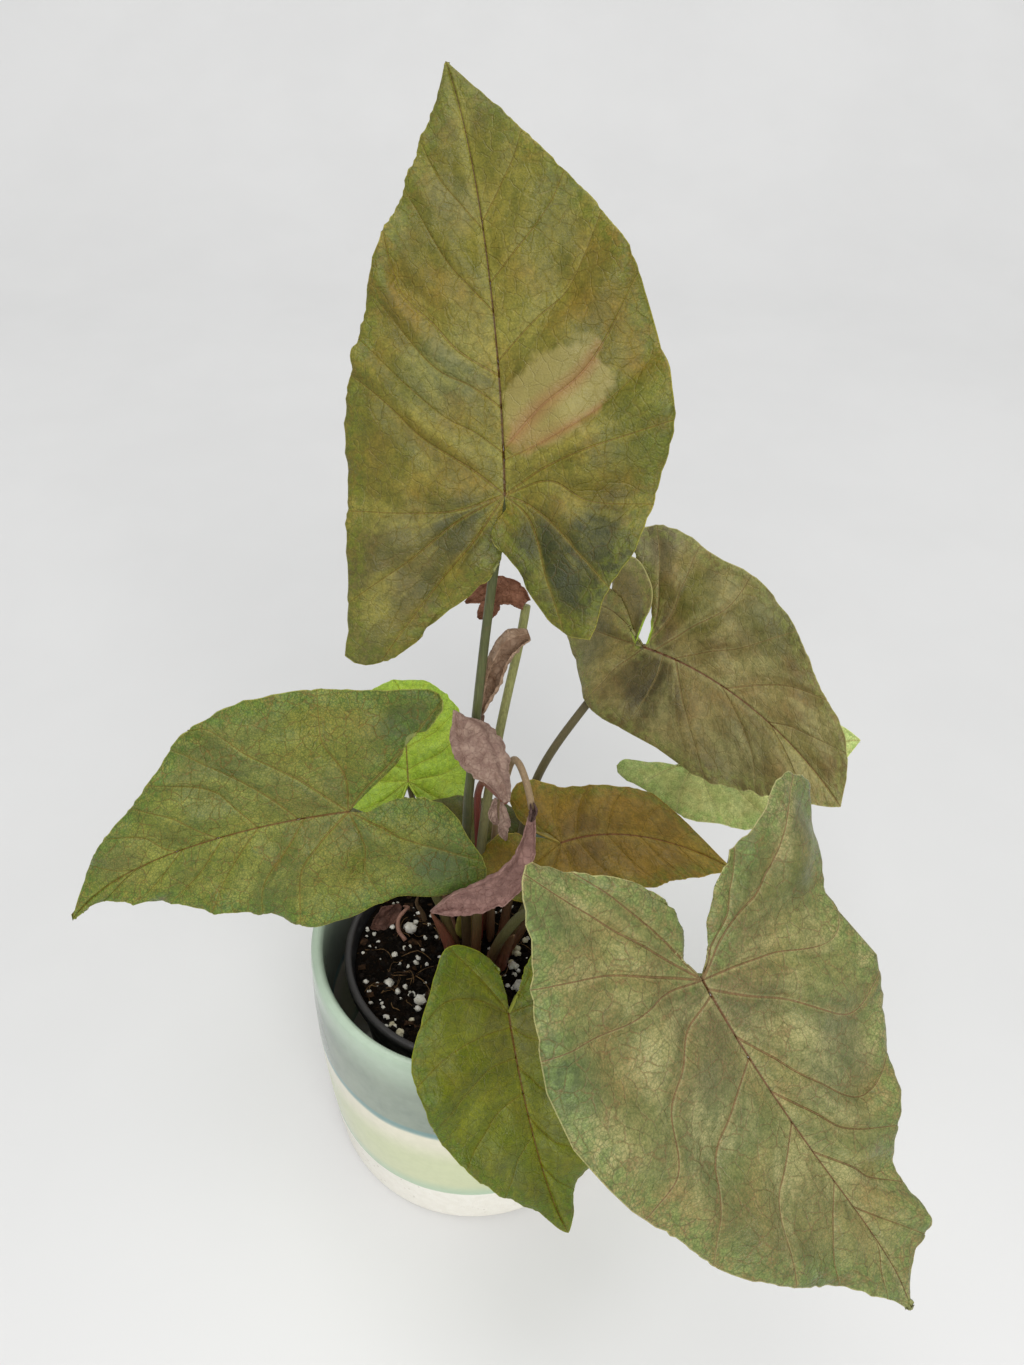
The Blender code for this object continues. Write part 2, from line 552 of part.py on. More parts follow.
def build_withered(name, leaf, collection, material):
    """A dried blade: a strip along its middle line, curled across and wrinkled."""
    line = resample(smooth_line([mm(point) for point in leaf["line"]], 8), WITHERED_GRID[0])
    sheet = bmesh.new()
    bmesh.ops.create_grid(sheet, x_segments=WITHERED_GRID[0], y_segments=WITHERED_GRID[1], size=0.5)
    curl = math.radians(leaf["curl"])
    roll = math.radians(leaf["roll"])
    for vertex in sheet.verts:
        share = vertex.co.x + 0.5
        index = round(share * WITHERED_GRID[0])
        ahead = (line[min(index + 1, len(line) - 1)] - line[max(index - 1, 0)]).normalized()
        side = ahead.cross(Vector((0.1, -0.9, 0.4))).normalized()
        up = side.cross(ahead)
        width = leaf["width"] * MM * (0.16 + 0.84 * math.sin(math.pi * share) ** 0.7)
        angle = vertex.co.y * curl
        radius = 2 * width / curl
        wrinkle = 0.07 * radius * math.sin(9 * share + 7 * vertex.co.y) + 0.05 * radius * math.sin(23 * share)
        offset = side * math.sin(angle + roll) - up * math.cos(angle + roll)
        vertex.co = line[index] + up * radius * math.cos(roll) + offset * (radius + wrinkle)
    bmesh.ops.triangulate(sheet, faces=sheet.faces)
    mesh = bpy.data.meshes.new(name)
    sheet.to_mesh(mesh)
    sheet.free()
    mesh.shade_smooth()
    item = add_object(name, mesh, collection, material)
    thick = item.modifiers.new("thickness", 'SOLIDIFY')
    thick.thickness = BLADE_THICKNESS * MM
    thick.offset = 0


def main():
    clear_scene()
    plant = make_collection(COLLECTION)
    cutters = make_collection("cutters")
    green = make_material("petiole_green", (0.12, 0.17, 0.05), 0.4)
    stalks = []
    for name, leaf in LEAVES.items():
        skin = make_material("leaf_" + name, LEAF_COLOURS[name], 0.45)
        build_blade("leaf_" + name, leaf, plant, skin)
        path = petiole_path(leaf)
        stalks.append(("petiole_" + name, path, leaf["radius"]))
        build_stalk("petiole_" + name, path, leaf["radius"], len(path) * 2 + 1, plant, green)
    for name, stalk in WITHERED_STALKS.items():
        dry = make_material("stalk_" + name, stalk["colour"], 0.6)
        stalks.append(("stalk_" + name, stalk["path"], stalk["radius"]))
        build_stalk("stalk_" + name, stalk["path"], stalk["radius"], len(stalk["path"]) * 2, plant, dry)
    for name, leaf in WITHERED.items():
        dry = make_material("withered_" + name, leaf["colour"], 0.7)
        build_withered("withered_" + name, leaf, plant, dry)
    build_cover_pot(plant)
    build_nursery_pot(plant, cutters)
    build_soil(plant, cutters, stalks)


main()
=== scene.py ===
import math
import random

import bmesh
import bpy
import numpy as np
from mathutils import Matrix, Vector


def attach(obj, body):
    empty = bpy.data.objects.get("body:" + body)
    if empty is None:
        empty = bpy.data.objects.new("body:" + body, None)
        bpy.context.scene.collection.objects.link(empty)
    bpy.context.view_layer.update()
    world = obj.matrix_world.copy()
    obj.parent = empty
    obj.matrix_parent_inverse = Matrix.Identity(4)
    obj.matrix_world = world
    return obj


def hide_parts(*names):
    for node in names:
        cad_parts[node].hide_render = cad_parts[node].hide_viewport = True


# An arrowhead plant in a nursery pot that stands in a glazed cover pot. Sizes are in mm until a mesh is made.
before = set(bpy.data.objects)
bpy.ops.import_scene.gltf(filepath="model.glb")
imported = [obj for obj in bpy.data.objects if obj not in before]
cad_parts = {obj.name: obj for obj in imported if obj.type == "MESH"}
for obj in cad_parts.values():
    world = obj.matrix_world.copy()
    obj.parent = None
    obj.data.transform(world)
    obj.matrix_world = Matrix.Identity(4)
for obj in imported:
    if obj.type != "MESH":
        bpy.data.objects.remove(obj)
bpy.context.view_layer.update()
mm = 0.001
print("frame loaded:", len(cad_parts), "nodes")


# Shared tools

def addNode(tree, kind, sockets=None, **settings):
    node = tree.nodes.new(kind)
    for name, value in settings.items():
        setattr(node, name, value)
    for key, value in (sockets or {}).items():
        if isinstance(value, bpy.types.NodeSocket):
            tree.links.new(value, node.inputs[key])
        else:
            node.inputs[key].default_value = value
    return node


def startGroup(name, inputs, outputs):
    tree = bpy.data.node_groups.new(name, 'ShaderNodeTree')
    for label, kind, value in inputs:
        socket = tree.interface.new_socket(name=label, in_out='INPUT', socket_type="NodeSocket" + kind)
        if value is not None:
            socket.default_value = value
    for label, kind in outputs:
        tree.interface.new_socket(name=label, in_out='OUTPUT', socket_type="NodeSocket" + kind)
    return tree, addNode(tree, 'NodeGroupInput').outputs, addNode(tree, 'NodeGroupOutput').inputs


def useGroup(tree, group, sockets):
    node = tree.nodes.new('ShaderNodeGroup')
    node.node_tree = group
    for key, value in sockets.items():
        if isinstance(value, bpy.types.NodeSocket):
            tree.links.new(value, node.inputs[key])
        else:
            node.inputs[key].default_value = value
    return node.outputs[0]


def mathNode(tree, operation, a, b=0.0, clamp=False):
    return addNode(tree, 'ShaderNodeMath', {0: a, 1: b}, operation=operation, use_clamp=clamp).outputs[0]


def mixColour(tree, share, a, b, blend='MIX'):
    colours = {6: a if isinstance(a, bpy.types.NodeSocket) else (*a, 1),
               7: b if isinstance(b, bpy.types.NodeSocket) else (*b, 1)}
    node = addNode(tree, 'ShaderNodeMix', {0: share, **colours}, data_type='RGBA', blend_type=blend)
    return node.outputs[2]


# Soft-edged blotches: 0 below low, 1 above high
def makeMottle():
    tree, given, result = startGroup("mottle", [("Coordinate", "Vector", None), ("Scale", "Float", 100.0),
                                                ("Detail", "Float", 3.0), ("Low", "Float", 0.45),
                                                ("High", "Float", 0.6)], [("Mask", "Float")])
    cloud = addNode(tree, 'ShaderNodeTexNoise', {"Vector": given["Coordinate"], "Scale": given["Scale"],
                                                 "Detail": given["Detail"], "Roughness": 0.6})
    spread = addNode(tree, 'ShaderNodeMapRange', {"Value": cloud.outputs[0], "From Min": given["Low"],
                                                  "From Max": given["High"]}, interpolation_type='SMOOTHSTEP')
    tree.links.new(spread.outputs[0], result["Mask"])
    return tree


# A line of a given half width along a distance field, fading out at its edge
def makeLine():
    tree, given, result = startGroup("line", [("Distance", "Float", 1.0), ("Width", "Float", 1.0),
                                              ("Strength", "Float", 1.0)], [("Mask", "Float")])
    inner = mathNode(tree, 'MULTIPLY', given["Width"], 0.35)
    fade = addNode(tree, 'ShaderNodeMapRange', {"Value": given["Distance"], "From Min": inner,
                                                "From Max": given["Width"], "To Min": 1.0, "To Max": 0.0},
                   interpolation_type='SMOOTHSTEP')
    strong = mathNode(tree, 'MULTIPLY', fade.outputs[0], given["Strength"], True)
    tree.links.new(strong, result["Mask"])
    return tree


# Fine network of veins: the borders of irregular cells
def makeNet():
    tree, given, result = startGroup("veinNet", [("Coordinate", "Vector", None), ("Scale", "Float", 300.0),
                                                 ("Line", "Float", 0.06), ("Warp", "Float", 0.002)],
                                     [("Mask", "Float")])
    shift = addNode(tree, 'ShaderNodeTexNoise', {"Vector": given["Coordinate"], "Scale": 260.0, "Detail": 2.0})
    centred = addNode(tree, 'ShaderNodeVectorMath', {0: shift.outputs["Color"], 1: (0.5, 0.5, 0.5)},
                      operation='SUBTRACT')
    moved = addNode(tree, 'ShaderNodeVectorMath', {0: centred.outputs[0], "Scale": given["Warp"]},
                    operation='SCALE')
    place = addNode(tree, 'ShaderNodeVectorMath', {0: given["Coordinate"], 1: moved.outputs[0]},
                    operation='ADD')
    cells = addNode(tree, 'ShaderNodeTexVoronoi', {"Vector": place.outputs[0], "Scale": given["Scale"]},
                    feature='DISTANCE_TO_EDGE')
    fade = addNode(tree, 'ShaderNodeMapRange', {"Value": cells.outputs["Distance"], "From Min": 0.0,
                                                "From Max": given["Line"], "To Min": 1.0, "To Max": 0.0},
                   interpolation_type='SMOOTHSTEP')
    tree.links.new(fade.outputs[0], result["Mask"])
    return tree


# Scattered dots in some of the cells
def makeSpecks():
    tree, given, result = startGroup("specks", [("Coordinate", "Vector", None), ("Scale", "Float", 100.0),
                                                ("Size", "Float", 0.1), ("Share", "Float", 0.2)],
                                     [("Mask", "Float")])
    cells = addNode(tree, 'ShaderNodeTexVoronoi', {"Vector": given["Coordinate"], "Scale": given["Scale"]})
    fade = addNode(tree, 'ShaderNodeMapRange', {"Value": cells.outputs["Distance"], "From Min": 0.0,
                                                "From Max": given["Size"], "To Min": 1.0, "To Max": 0.0},
                   interpolation_type='SMOOTHSTEP')
    draw = addNode(tree, 'ShaderNodeSeparateColor', {0: cells.outputs["Color"]})
    kept = mathNode(tree, 'LESS_THAN', draw.outputs[0], given["Share"])
    tree.links.new(mathNode(tree, 'MULTIPLY', fade.outputs[0], kept), result["Mask"])
    return tree


# A soft round zone with a ragged edge
def makeZone():
    tree, given, result = startGroup("zone", [("Coordinate", "Vector", None), ("Middle", "Vector", None),
                                              ("Reach", "Float", 0.02), ("Strength", "Float", 1.0)],
                                     [("Mask", "Float")])
    ragged = addNode(tree, 'ShaderNodeTexNoise', {"Vector": given["Coordinate"], "Scale": 70.0, "Detail": 4.0})
    away = addNode(tree, 'ShaderNodeVectorMath', {0: given["Coordinate"], 1: given["Middle"]}, operation='DISTANCE')
    share = mathNode(tree, 'DIVIDE', away.outputs["Value"], given["Reach"])
    uneven = mathNode(tree, 'ADD', share, mathNode(tree, 'MULTIPLY', ragged.outputs[0], 1.2))
    fade = addNode(tree, 'ShaderNodeMapRange', {"Value": uneven, "From Min": 0.9, "From Max": 1.6, "To Min": 1.0,
                                                "To Max": 0.0}, interpolation_type='SMOOTHSTEP')
    tree.links.new(mathNode(tree, 'MULTIPLY', fade.outputs[0], given["Strength"]), result["Mask"])
    return tree


groups = {"mottle": makeMottle(), "line": makeLine(), "net": makeNet(), "specks": makeSpecks(), "zone": makeZone()}


def startMaterial(name, roughness=0.5, gloss=0.3):
    material = bpy.data.materials.new(name)
    material.use_nodes = True
    tree = material.node_tree
    shader = tree.nodes["Principled BSDF"]
    shader.inputs["Roughness"].default_value = roughness
    shader.inputs["Specular IOR Level"].default_value = gloss
    return material, tree, shader


def objectPlace(tree, scale=(1, 1, 1)):
    coordinate = addNode(tree, 'ShaderNodeTexCoord').outputs["Object"]
    return addNode(tree, 'ShaderNodeMapping', {"Vector": coordinate, "Scale": scale}).outputs[0]


def addBump(tree, shader, height, depth, strength=1.0):
    bump = addNode(tree, 'ShaderNodeBump', {"Height": height, "Distance": depth, "Strength": strength})
    tree.links.new(bump.outputs[0], shader.inputs["Normal"])


def finishPiece(name, mesh, nodes=(), materials=()):
    piece = bpy.data.objects.new(name, mesh)
    bpy.context.scene.collection.objects.link(piece)
    for material in materials:
        mesh.materials.append(material)
    mesh.shade_smooth()
    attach(piece, "root")
    if nodes:
        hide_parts(*nodes)
    return piece


def meshOf(name, shape):
    mesh = bpy.data.meshes.new(name)
    shape.to_mesh(mesh)
    shape.free()
    return mesh


def smoothLine(points, steps):
    knots = np.array(points, float)
    knots = np.vstack([2 * knots[0] - knots[1], knots, 2 * knots[-1] - knots[-2]])
    t = (np.arange(steps) / steps)[:, None]
    parts = [0.5 * (2 * b + (c - a) * t + (2 * a - 5 * b + 4 * c - d) * t ** 2 + (3 * b - a - 3 * c + d) * t ** 3)
             for a, b, c, d in zip(knots, knots[1:], knots[2:], knots[3:])]
    return np.vstack(parts + [knots[-2:-1]])


def resample(line, count):
    lengths = np.concatenate([[0], np.cumsum(np.linalg.norm(np.diff(line, axis=0), axis=1))])
    wanted = np.linspace(0, lengths[-1], count + 1)
    return np.stack([np.interp(wanted, lengths, column) for column in line.T], axis=1)


# Smooth random relief: a sum of waves in random directions, about -1 to 1
def ripples(x, y, wavelength, seed, waves=9):
    rng = random.Random(seed)
    total = 0
    for _ in range(waves):
        angle = rng.uniform(0, 2 * math.pi)
        pace = 2 * math.pi / (wavelength * rng.uniform(0.7, 1.5))
        total = total + np.sin((x * math.cos(angle) + y * math.sin(angle)) * pace + rng.uniform(0, 2 * math.pi))
    return total / math.sqrt(waves)


def smoothStep(low, high, value):
    t = np.clip((value - low) / (high - low), 0, 1)
    return t * t * (3 - 2 * t)


def unit(vector):
    return np.array(vector, float) / np.linalg.norm(vector)


# Leaves. Each has the place and outline of its CAD blade; veins are counted from the sinus (0) round the lobe
# (1, 2), the first side vein from the stalk (3) and on up the midrib to the tip (8).
bladeForm = dict(thickness=1.5, thinShare=0.28, camber=0.0016, lean=0.7, quilt=1.35, edgeTurn=5, marginWaves=4.5, undulation=1.3,
                 ripple=0.5, crinkle=0.10, scallop=0.28)
gridLarge = (1.35, 56)
gridSmall = (1.4, 34)

leaves = {
    "top": dict(
        joint=(15, 6, 327), toward=(-0.02, 0.50, 0.87), face=(-0.21, -0.85, 0.48),
        droop=11, sway=-12, fold=8, wave=1.3, lobeLift=(0.30, 0), tip=(-2, 124),
        right=[(0.4, -4), (-3, -9), (-3, -14), (4, -20), (9, -28), (16, -37), (27, -40), (31, -29), (40, -14),
               (46, 4), (51, 25), (46, 46), (43, 62), (34, 80), (22, 94), (8, 112)],
        left=[(1, -5), (2, -20), (13, -31), (23, -38), (31, -46), (41, -51), (51, -50), (50, -40), (49, -20),
              (49, 8), (46, 31), (40, 50), (33, 68), (24, 84), (14, 101), (6, 115)],
        slot="leaf_olive", large=True),
    "upper_right": dict(
        joint=(66.5, 45, 236), toward=(0.85, -0.52, 0.05), face=(-0.43, -0.64, 0.64),
        droop=14, sway=49, fold=8, wave=1.4, lobeLift=(-0.25, 0.2), tip=(1, 85),
        right=[(0.4, -3), (-5, -7), (-13, -13), (-18, -23), (-13, -34), (-4, -40), (8, -33), (20, -22),
               (28, -14), (32, 4), (34, 27), (31, 43), (20, 62), (7, 79)],
        left=[(2.5, 0.2), (7, 0), (14, -1.5), (22, -4), (29, -11), (37, -15), (44, -11), (45, 2), (41, 16), (41, 32),
              (35, 50), (25, 64), (20, 77), (10, 83)],
        slot="leaf_bronze", large=True,
        flap=[(0.20, 0, 0), (0.34, -8.5, -1.4), (0.48, -16, 0), (0.64, -23.5, -2.6), (0.84, -30.5, -10.5),
              (1.0, -30, -20)], flapRise=5.5),
    "behind": dict(
        joint=(96, 58, 165), toward=(0.98, 0.02, 0.15), face=(-0.15, -0.45, 0.88),
        droop=10, sway=0, fold=6, wave=1.3, lobeLift=(0, 0), tip=(0, 69),
        right=[(3, -8), (0, -20), (-3, -32), (4, -34), (14, -22), (27, -9), (31, 6), (34, 19), (26, 36),
               (14, 54), (5, 64)],
        left=[(5, -6), (10, -16), (18, -22), (28, -14), (31, 0), (30, 14), (25, 32), (16, 50), (7, 62)],
        slot="leaf_green", large=False),
    "brown": dict(
        joint=(36, 3, 174), toward=(0.93, 0.15, 0.33), face=(-0.17, -0.62, 0.77),
        droop=9, sway=102, fold=6, wave=1.1, lobeLift=(0, 0), tip=(1, 58),
        right=[(-4, -6), (-9, -16), (-11, -22), (-8, -29), (-3, -33), (8, -30), (18, -20), (24, -5), (21, 10),
               (21, 25), (17, 34), (11, 45), (6, 52)],
        left=[(5, -4), (10, -11), (18, -14), (25, -12), (27, -4), (21, 6), (20, 14), (20, 28), (20, 38),
              (12, 47), (3, 54)],
        slot="leaf_bronze", large=False),
    "dark": dict(
        joint=(5, 29, 141), toward=(-0.85, 0.35, -0.10), face=(-0.10, -0.45, 0.89),
        droop=9, sway=0, fold=7, wave=0.9, lobeLift=(0, 0), tip=(0, 46),
        right=[(3, -4), (6, -11), (13, -15), (19, -8), (20, 4), (18, 18), (12, 32), (5, 41)],
        left=[(3, -4), (6, -9), (11, -12), (14, -6), (15, 4), (14, 18), (9, 32), (4, 41)],
        slot="leaf_green", large=False),
    "left": dict(
        joint=(-41, -9, 205), toward=(-0.99, -0.08, -0.09), face=(0.03, -0.89, 0.45),
        droop=8, sway=-23, fold=8, wave=1.5, lobeLift=(0, 0), tip=(-8, 109),
        right=[(6, -7), (11, -13), (19, -22), (27, -25), (28, -33), (37, -39), (43, -34), (44, -16), (46, 0),
               (48, 15), (47, 34), (41, 54), (31, 65), (23, 76), (12, 94), (3, 102)],
        left=[(1, -7), (-2, -17), (1, -31), (12, -40), (29, -46), (35, -28), (35, -10), (40, 8), (40, 22),
              (33, 37), (28, 48), (21, 66), (15, 78), (7, 97), (8, 106)],
        slot="leaf_green", large=True),
    "lime": dict(
        joint=(-29, 67, 140), toward=(-0.08, 0.82, 0.50), face=(0.03, -0.52, 0.85),
        droop=40, sway=0, fold=7, wave=0.9, lobeLift=(0, 0), tip=(-5, 52),
        right=[(3, -6), (7, -14), (16, -20), (25, -13), (28, 0), (28, 15), (26, 29), (18, 42), (6, 50)],
        left=[(3, -6), (6, -14), (15, -20), (24, -14), (27, 0), (27, 14), (25, 28), (20, 40), (12, 48)],
        slot="leaf_lime", large=False),
    "small": dict(
        joint=(16, -57, 152), toward=(0.15, -0.67, -0.73), face=(0.38, -0.64, 0.67),
        droop=11, sway=-17, fold=8, wave=1.0, lobeLift=(0, 0), tip=(-2, 86),
        right=[(0, -8), (2, -18), (9, -25), (19, -28), (27, -17), (35, -2), (39, 10), (37, 27), (31, 43),
               (20, 60), (7, 73), (1, 83)],
        left=[(4, -4), (8, -13), (14, -19), (25, -10), (32, 8), (33, 24), (28, 42), (20, 58), (11, 67),
              (6, 79)],
        slot="leaf_olive", large=True),
    "front": dict(
        joint=(68, -106, 247), toward=(0.49, -0.46, -0.74), face=(0.50, -0.55, 0.67),
        droop=-3, sway=-10, fold=6, wave=1.5, lobeLift=(0, 0), tip=(8, 116),
        right=[(2, -7), (-2, -14), (-2, -24), (7, -37), (18, -47), (28, -56), (36, -48), (46, -27), (54, -8),
               (56, 8), (54, 27), (48, 42), (42, 62), (31, 79), (20, 92), (11, 107)],
        left=[(7, -5), (11, -13), (22, -21), (33, -23), (44, -25), (56, -29), (66, -21), (60, -6), (51, 13),
              (52, 28), (49, 45), (36, 63), (21, 80), (14, 98), (4, 106)],
        slot="leaf_olive", large=True, quilt=0.9),
}
# Side veins of each half blade, from the lobe round to the tip: how far up the midrib it starts, points on its way
# as across and along, the last one beside the margin, and how strong it is
sideVeins = {
    "top": dict(
        right=[(0, [(8, -7), (13, -21), (20, -38)], 0.6), (0, [(8, -3), (17, -10), (33, -26)], 0.7),
               (0, [(14, 4), (26, -2), (44, -3)], 0.8), (0, [(13, 8), (29, 14), (50, 20)], 1.0),
               (10, [(14, 16), (30, 25), (48, 40)], 0.35), (13, [(11, 24), (27, 36), (44, 60)], 1.0),
               (38, [(11, 48), (24, 59), (36, 78)], 0.5), (60, [(10, 69), (19, 78), (27, 90)], 0.35),
               (77, [(6, 85), (12, 93), (17, 101)], 0.25)],
        left=[(0, [(10, -14), (22, -27), (41, -50)], 0.9), (0, [(15, -8), (28, -18), (50, -32)], 0.75),
              (0, [(13, -4), (26, -5), (49, -4)], 0.9), (0, [(10, 8), (24, 17), (35, 28), (46, 36)], 1.0),
              (12, [(8, 18), (20, 25), (42, 46)], 0.3), (25, [(8, 31), (20, 38), (37, 60)], 0.4),
              (34, [(11, 41), (18, 49), (27, 59), (30, 76)], 0.95), (52, [(6, 59), (12, 67), (22, 88)], 0.4),
              (75, [(6, 83), (11, 91), (14, 101)], 0.25)]),
    "upper_right": dict(
        right=[(0, [(-7, -11), (-10, -22), (-8, -36)], 0.6), (0, [(0, -14), (0, -25), (2, -38)], 0.9),
               (0, [(10, -8), (19, -12), (26, -15)], 0.8), (8, [(10, 8), (22, 6), (32, 2)], 0.35),
               (13, [(8, 18), (20, 27), (33, 38)], 0.9), (32, [(7, 43), (14, 51), (25, 56)], 0.5),
               (53, [(4, 62), (8, 68), (13, 72)], 0.3)],
        left=[(0, [(14, 1), (28, -2), (44, -8)], 0.9), (0, [(14, 6), (28, 8), (43, 9)], 0.8),
              (4, [(12, 14), (25, 25), (41, 30)], 0.95), (12, [(9, 25), (17, 36), (34, 52)], 0.5),
              (34, [(8, 44), (16, 55), (23, 69)], 0.8), (52, [(5, 60), (8, 67), (14, 80)], 0.35)]),
    "left": dict(
        right=[(0, [(9, -8), (22, -23), (38, -39)], 0.8), (0, [(14, -1), (28, 5), (46, 4)], 0.8),
               (0, [(14, 14), (27, 29), (41, 42), (43, 50)], 1.0), (18, [(11, 27), (23, 40), (37, 58)], 0.8),
               (33, [(10, 40), (20, 49), (29, 68)], 0.5), (48, [(4, 53), (13, 61), (22, 77)], 0.7),
               (64, [(3, 69), (10, 75), (15, 88)], 0.5), (82, [(1, 86), (4, 91), (8, 98)], 0.3)],
        left=[(0, [(7, -11), (14, -21), (24, -45)], 0.8), (0, [(12, -4), (24, -3), (35, -8)], 0.5),
              (0, [(10, 12), (20, 20), (40, 24)], 0.95), (16, [(10, 24), (21, 34), (33, 37)], 0.7),
              (33, [(8, 41), (17, 49), (26, 54)], 0.4), (46, [(9, 55), (14, 62), (19, 71)], 0.5),
              (62, [(7, 71), (11, 78), (13, 85)], 0.35), (80, [(3, 86), (5, 90), (7, 96)], 0.2)]),
    "small": dict(
        right=[(0, [(6, -10), (12, -19), (19, -28)], 0.6), (0, [(12, -8), (24, -10), (34, -4)], 0.8),
               (5, [(12, 5), (25, 8), (38, 16)], 0.9), (16, [(12, 17), (24, 24), (36, 32)], 0.6),
               (29, [(11, 33), (20, 41), (28, 49)], 0.7), (45, [(8, 51), (13, 58), (18, 64)], 0.4)],
        left=[(0, [(5, -6), (9, -11), (14, -18)], 0.4), (0, [(8, -1), (16, -3), (27, -6)], 0.7),
              (5, [(8, 11), (18, 14), (33, 20)], 0.8), (19, [(9, 31), (16, 34), (29, 40)], 0.6),
              (38, [(6, 48), (12, 52), (20, 58)], 0.5), (57, [(4, 64), (7, 67), (11, 70)], 0.3)]),
    "front": dict(
        right=[(0, [(6, -20), (12, -34), (17, -46)], 0.8), (0, [(10, -17), (20, -35), (30, -54)], 0.9),
               (0, [(12, -10), (26, -21), (44, -31)], 1.0), (0, [(13, -5), (27, -7), (51, -15)], 0.85),
               (5, [(14, 8), (28, 18), (38, 32), (52, 36)], 1.0), (26, [(13, 32), (28, 42), (43, 60)], 0.9),
               (49, [(11, 56), (21, 65), (30, 81)], 0.7), (71, [(8, 77), (15, 86), (19, 94)], 0.4),
               (90, [(3, 95), (8, 101), (11, 106)], 0.2)],
        left=[(0, [(9, -6), (18, -11), (30, -21)], 0.5), (0, [(16, -7), (34, -10), (58, -25)], 0.9),
              (0, [(12, 4), (24, 9), (41, 18), (51, 14)], 0.8), (3, [(9, 12), (20, 22), (36, 40), (51, 36)], 1.0),
              (19, [(6, 31), (12, 44), (23, 60), (40, 58)], 0.8), (38, [(6, 50), (12, 62), (26, 74)], 0.7),
              (60, [(6, 71), (10, 80), (17, 89)], 0.6), (81, [(4, 90), (7, 96), (10, 102)], 0.4)]),
}
# Leaves without a list of their own: share of the midrib, degrees towards the tip, strength
plainVeins = [(0, -68, 0.6), (0, -28, 0.8), (0, 14, 0.9), (0.10, 30, 0.8), (0.30, 34, 0.6), (0.50, 38, 0.5),
              (0.70, 44, 0.3)]


def bladeAxes(leaf):
    toward = unit(leaf["toward"])
    face = np.array(leaf["face"], float)
    face = unit(face - toward * face.dot(toward))
    return np.cross(toward, face), toward, face


# Places in space of points of a blade, lifted off its surface by lift
def bladeSurface(leaf, across, along, lift):
    sideWay, toward, face = bladeAxes(leaf)
    bend = np.where(along > 0, math.radians(leaf["droop"]) / 100, 1e-6)
    angle = bend * along
    sway = 0.5 * math.radians(leaf["sway"]) / 100 * np.maximum(along, 0) ** 2
    ahead = (np.sin(angle) / bend)[..., None]
    down = ((1 - np.cos(angle)) / bend)[..., None]
    upward = face * np.cos(angle)[..., None] + toward * np.sin(angle)[..., None]
    fold = math.radians(leaf["fold"])
    height = np.abs(across) * math.sin(fold) - bladeForm["camber"] * across ** 2 + lift
    sideways = (sway + across * math.cos(fold))[..., None]
    return np.array(leaf["joint"], float) + toward * ahead - face * down + sideWay * sideways + upward * height[..., None]


# The margin of a half blade with small scallops, and the point from which the lobe's lines turn steadily round
# the stalk's end
def bladeMargin(leaf, side, seed):
    turn = 1 if side == "right" else -1
    knots = [(across * turn, along) for across, along in leaf[side]] + [leaf["tip"]]
    margin = resample(smoothLine(knots, 12), 600)
    widest = int(np.argmax(margin[:, 1] > bladeForm["lean"] * np.abs(margin[:, 0])))
    angles = np.arctan2(margin[:widest, 0] * turn, -margin[:widest, 1])
    back = angles < np.maximum.accumulate(angles)
    lowest = (angles[back].min() if back.any() else angles[0]) + math.radians(bladeForm["edgeTurn"])
    start = int(np.nonzero(angles < lowest)[0].max())
    step = np.gradient(margin, axis=0)
    normal = np.stack([step[:, 1], -step[:, 0]], axis=1) / np.linalg.norm(step, axis=1)[:, None]
    walk = np.concatenate([[0], np.cumsum(np.linalg.norm(np.diff(margin, axis=0), axis=1))])
    fade = smoothStep(0, 8, walk) * smoothStep(0, 25, walk[-1] - walk)
    notch = ripples(walk, 0 * walk, 7.0, seed) + 0.5 * ripples(walk, 0 * walk, 2.6, seed + 1)
    return margin + normal * (bladeForm["scallop"] * notch * fade)[:, None], start


def spineAcross(leaf, along):
    return leaf["tip"][0] * (np.maximum(along, 0) / leaf["tip"][1]) ** 8


# Veins of a half blade: foot along the midrib, line of places from there to the margin, margin index, strength.
# The first is the lobe's edge beside the sinus and the last the tip.
def veinLines(leaf, side, margin, start):
    turn = 1 if side == "right" else -1
    length = leaf["tip"][1]
    lines = [(0, resample(np.vstack([[0, 0], margin[:start + 1]]), 200), start, 0)]
    if leaf["veins"]:
        given = [(foot, [(across * turn, along) for across, along in points], strength)
                 for foot, points, strength in leaf["veins"][side]]
    else:
        given = []
        for share, rise, strength in plainVeins:
            foot = np.array((0, share * length))
            ways = np.arctan2(margin[:, 1] - foot[1], margin[:, 0] * turn)
            far = margin[start + int(np.argmin(np.abs(ways[start:] - math.radians(rise))))]
            middle = foot + (far - foot) * 0.55 - (0, 0.07 * np.linalg.norm(far - foot))
            given.append((foot[1], [tuple(middle), tuple(far)], strength))
    for foot, points, strength in given:
        index = start + int(np.argmin(np.linalg.norm(margin[start:] - points[-1], axis=1)))
        knots = [(spineAcross(leaf, foot), foot)] + list(points[:-1]) + [tuple(margin[index])]
        lines.append((foot, resample(smoothLine(knots, 20), 200), index, strength))
    lines.append((length, np.tile(leaf["tip"], (201, 1)), len(margin) - 1, 0))
    return lines


# Shares between two veins, closer together at both
def spreadShares(count):
    share = np.arange(count) / count
    return share - 0.6 * np.sin(2 * math.pi * share) / (2 * math.pi)


# Feet on the midrib of the grid's lines, the same for both halves
def ribFeet(leaf, veins, pace):
    feet = sorted({line[0] for lines in veins.values() for line in lines})
    places = []
    for low, high in zip(feet, feet[1:]):
        places.extend(low + (high - low) * spreadShares(max(3, round((high - low) * 1.5 / pace))))
    return np.array(places[1:] + [leaf["tip"][1]])


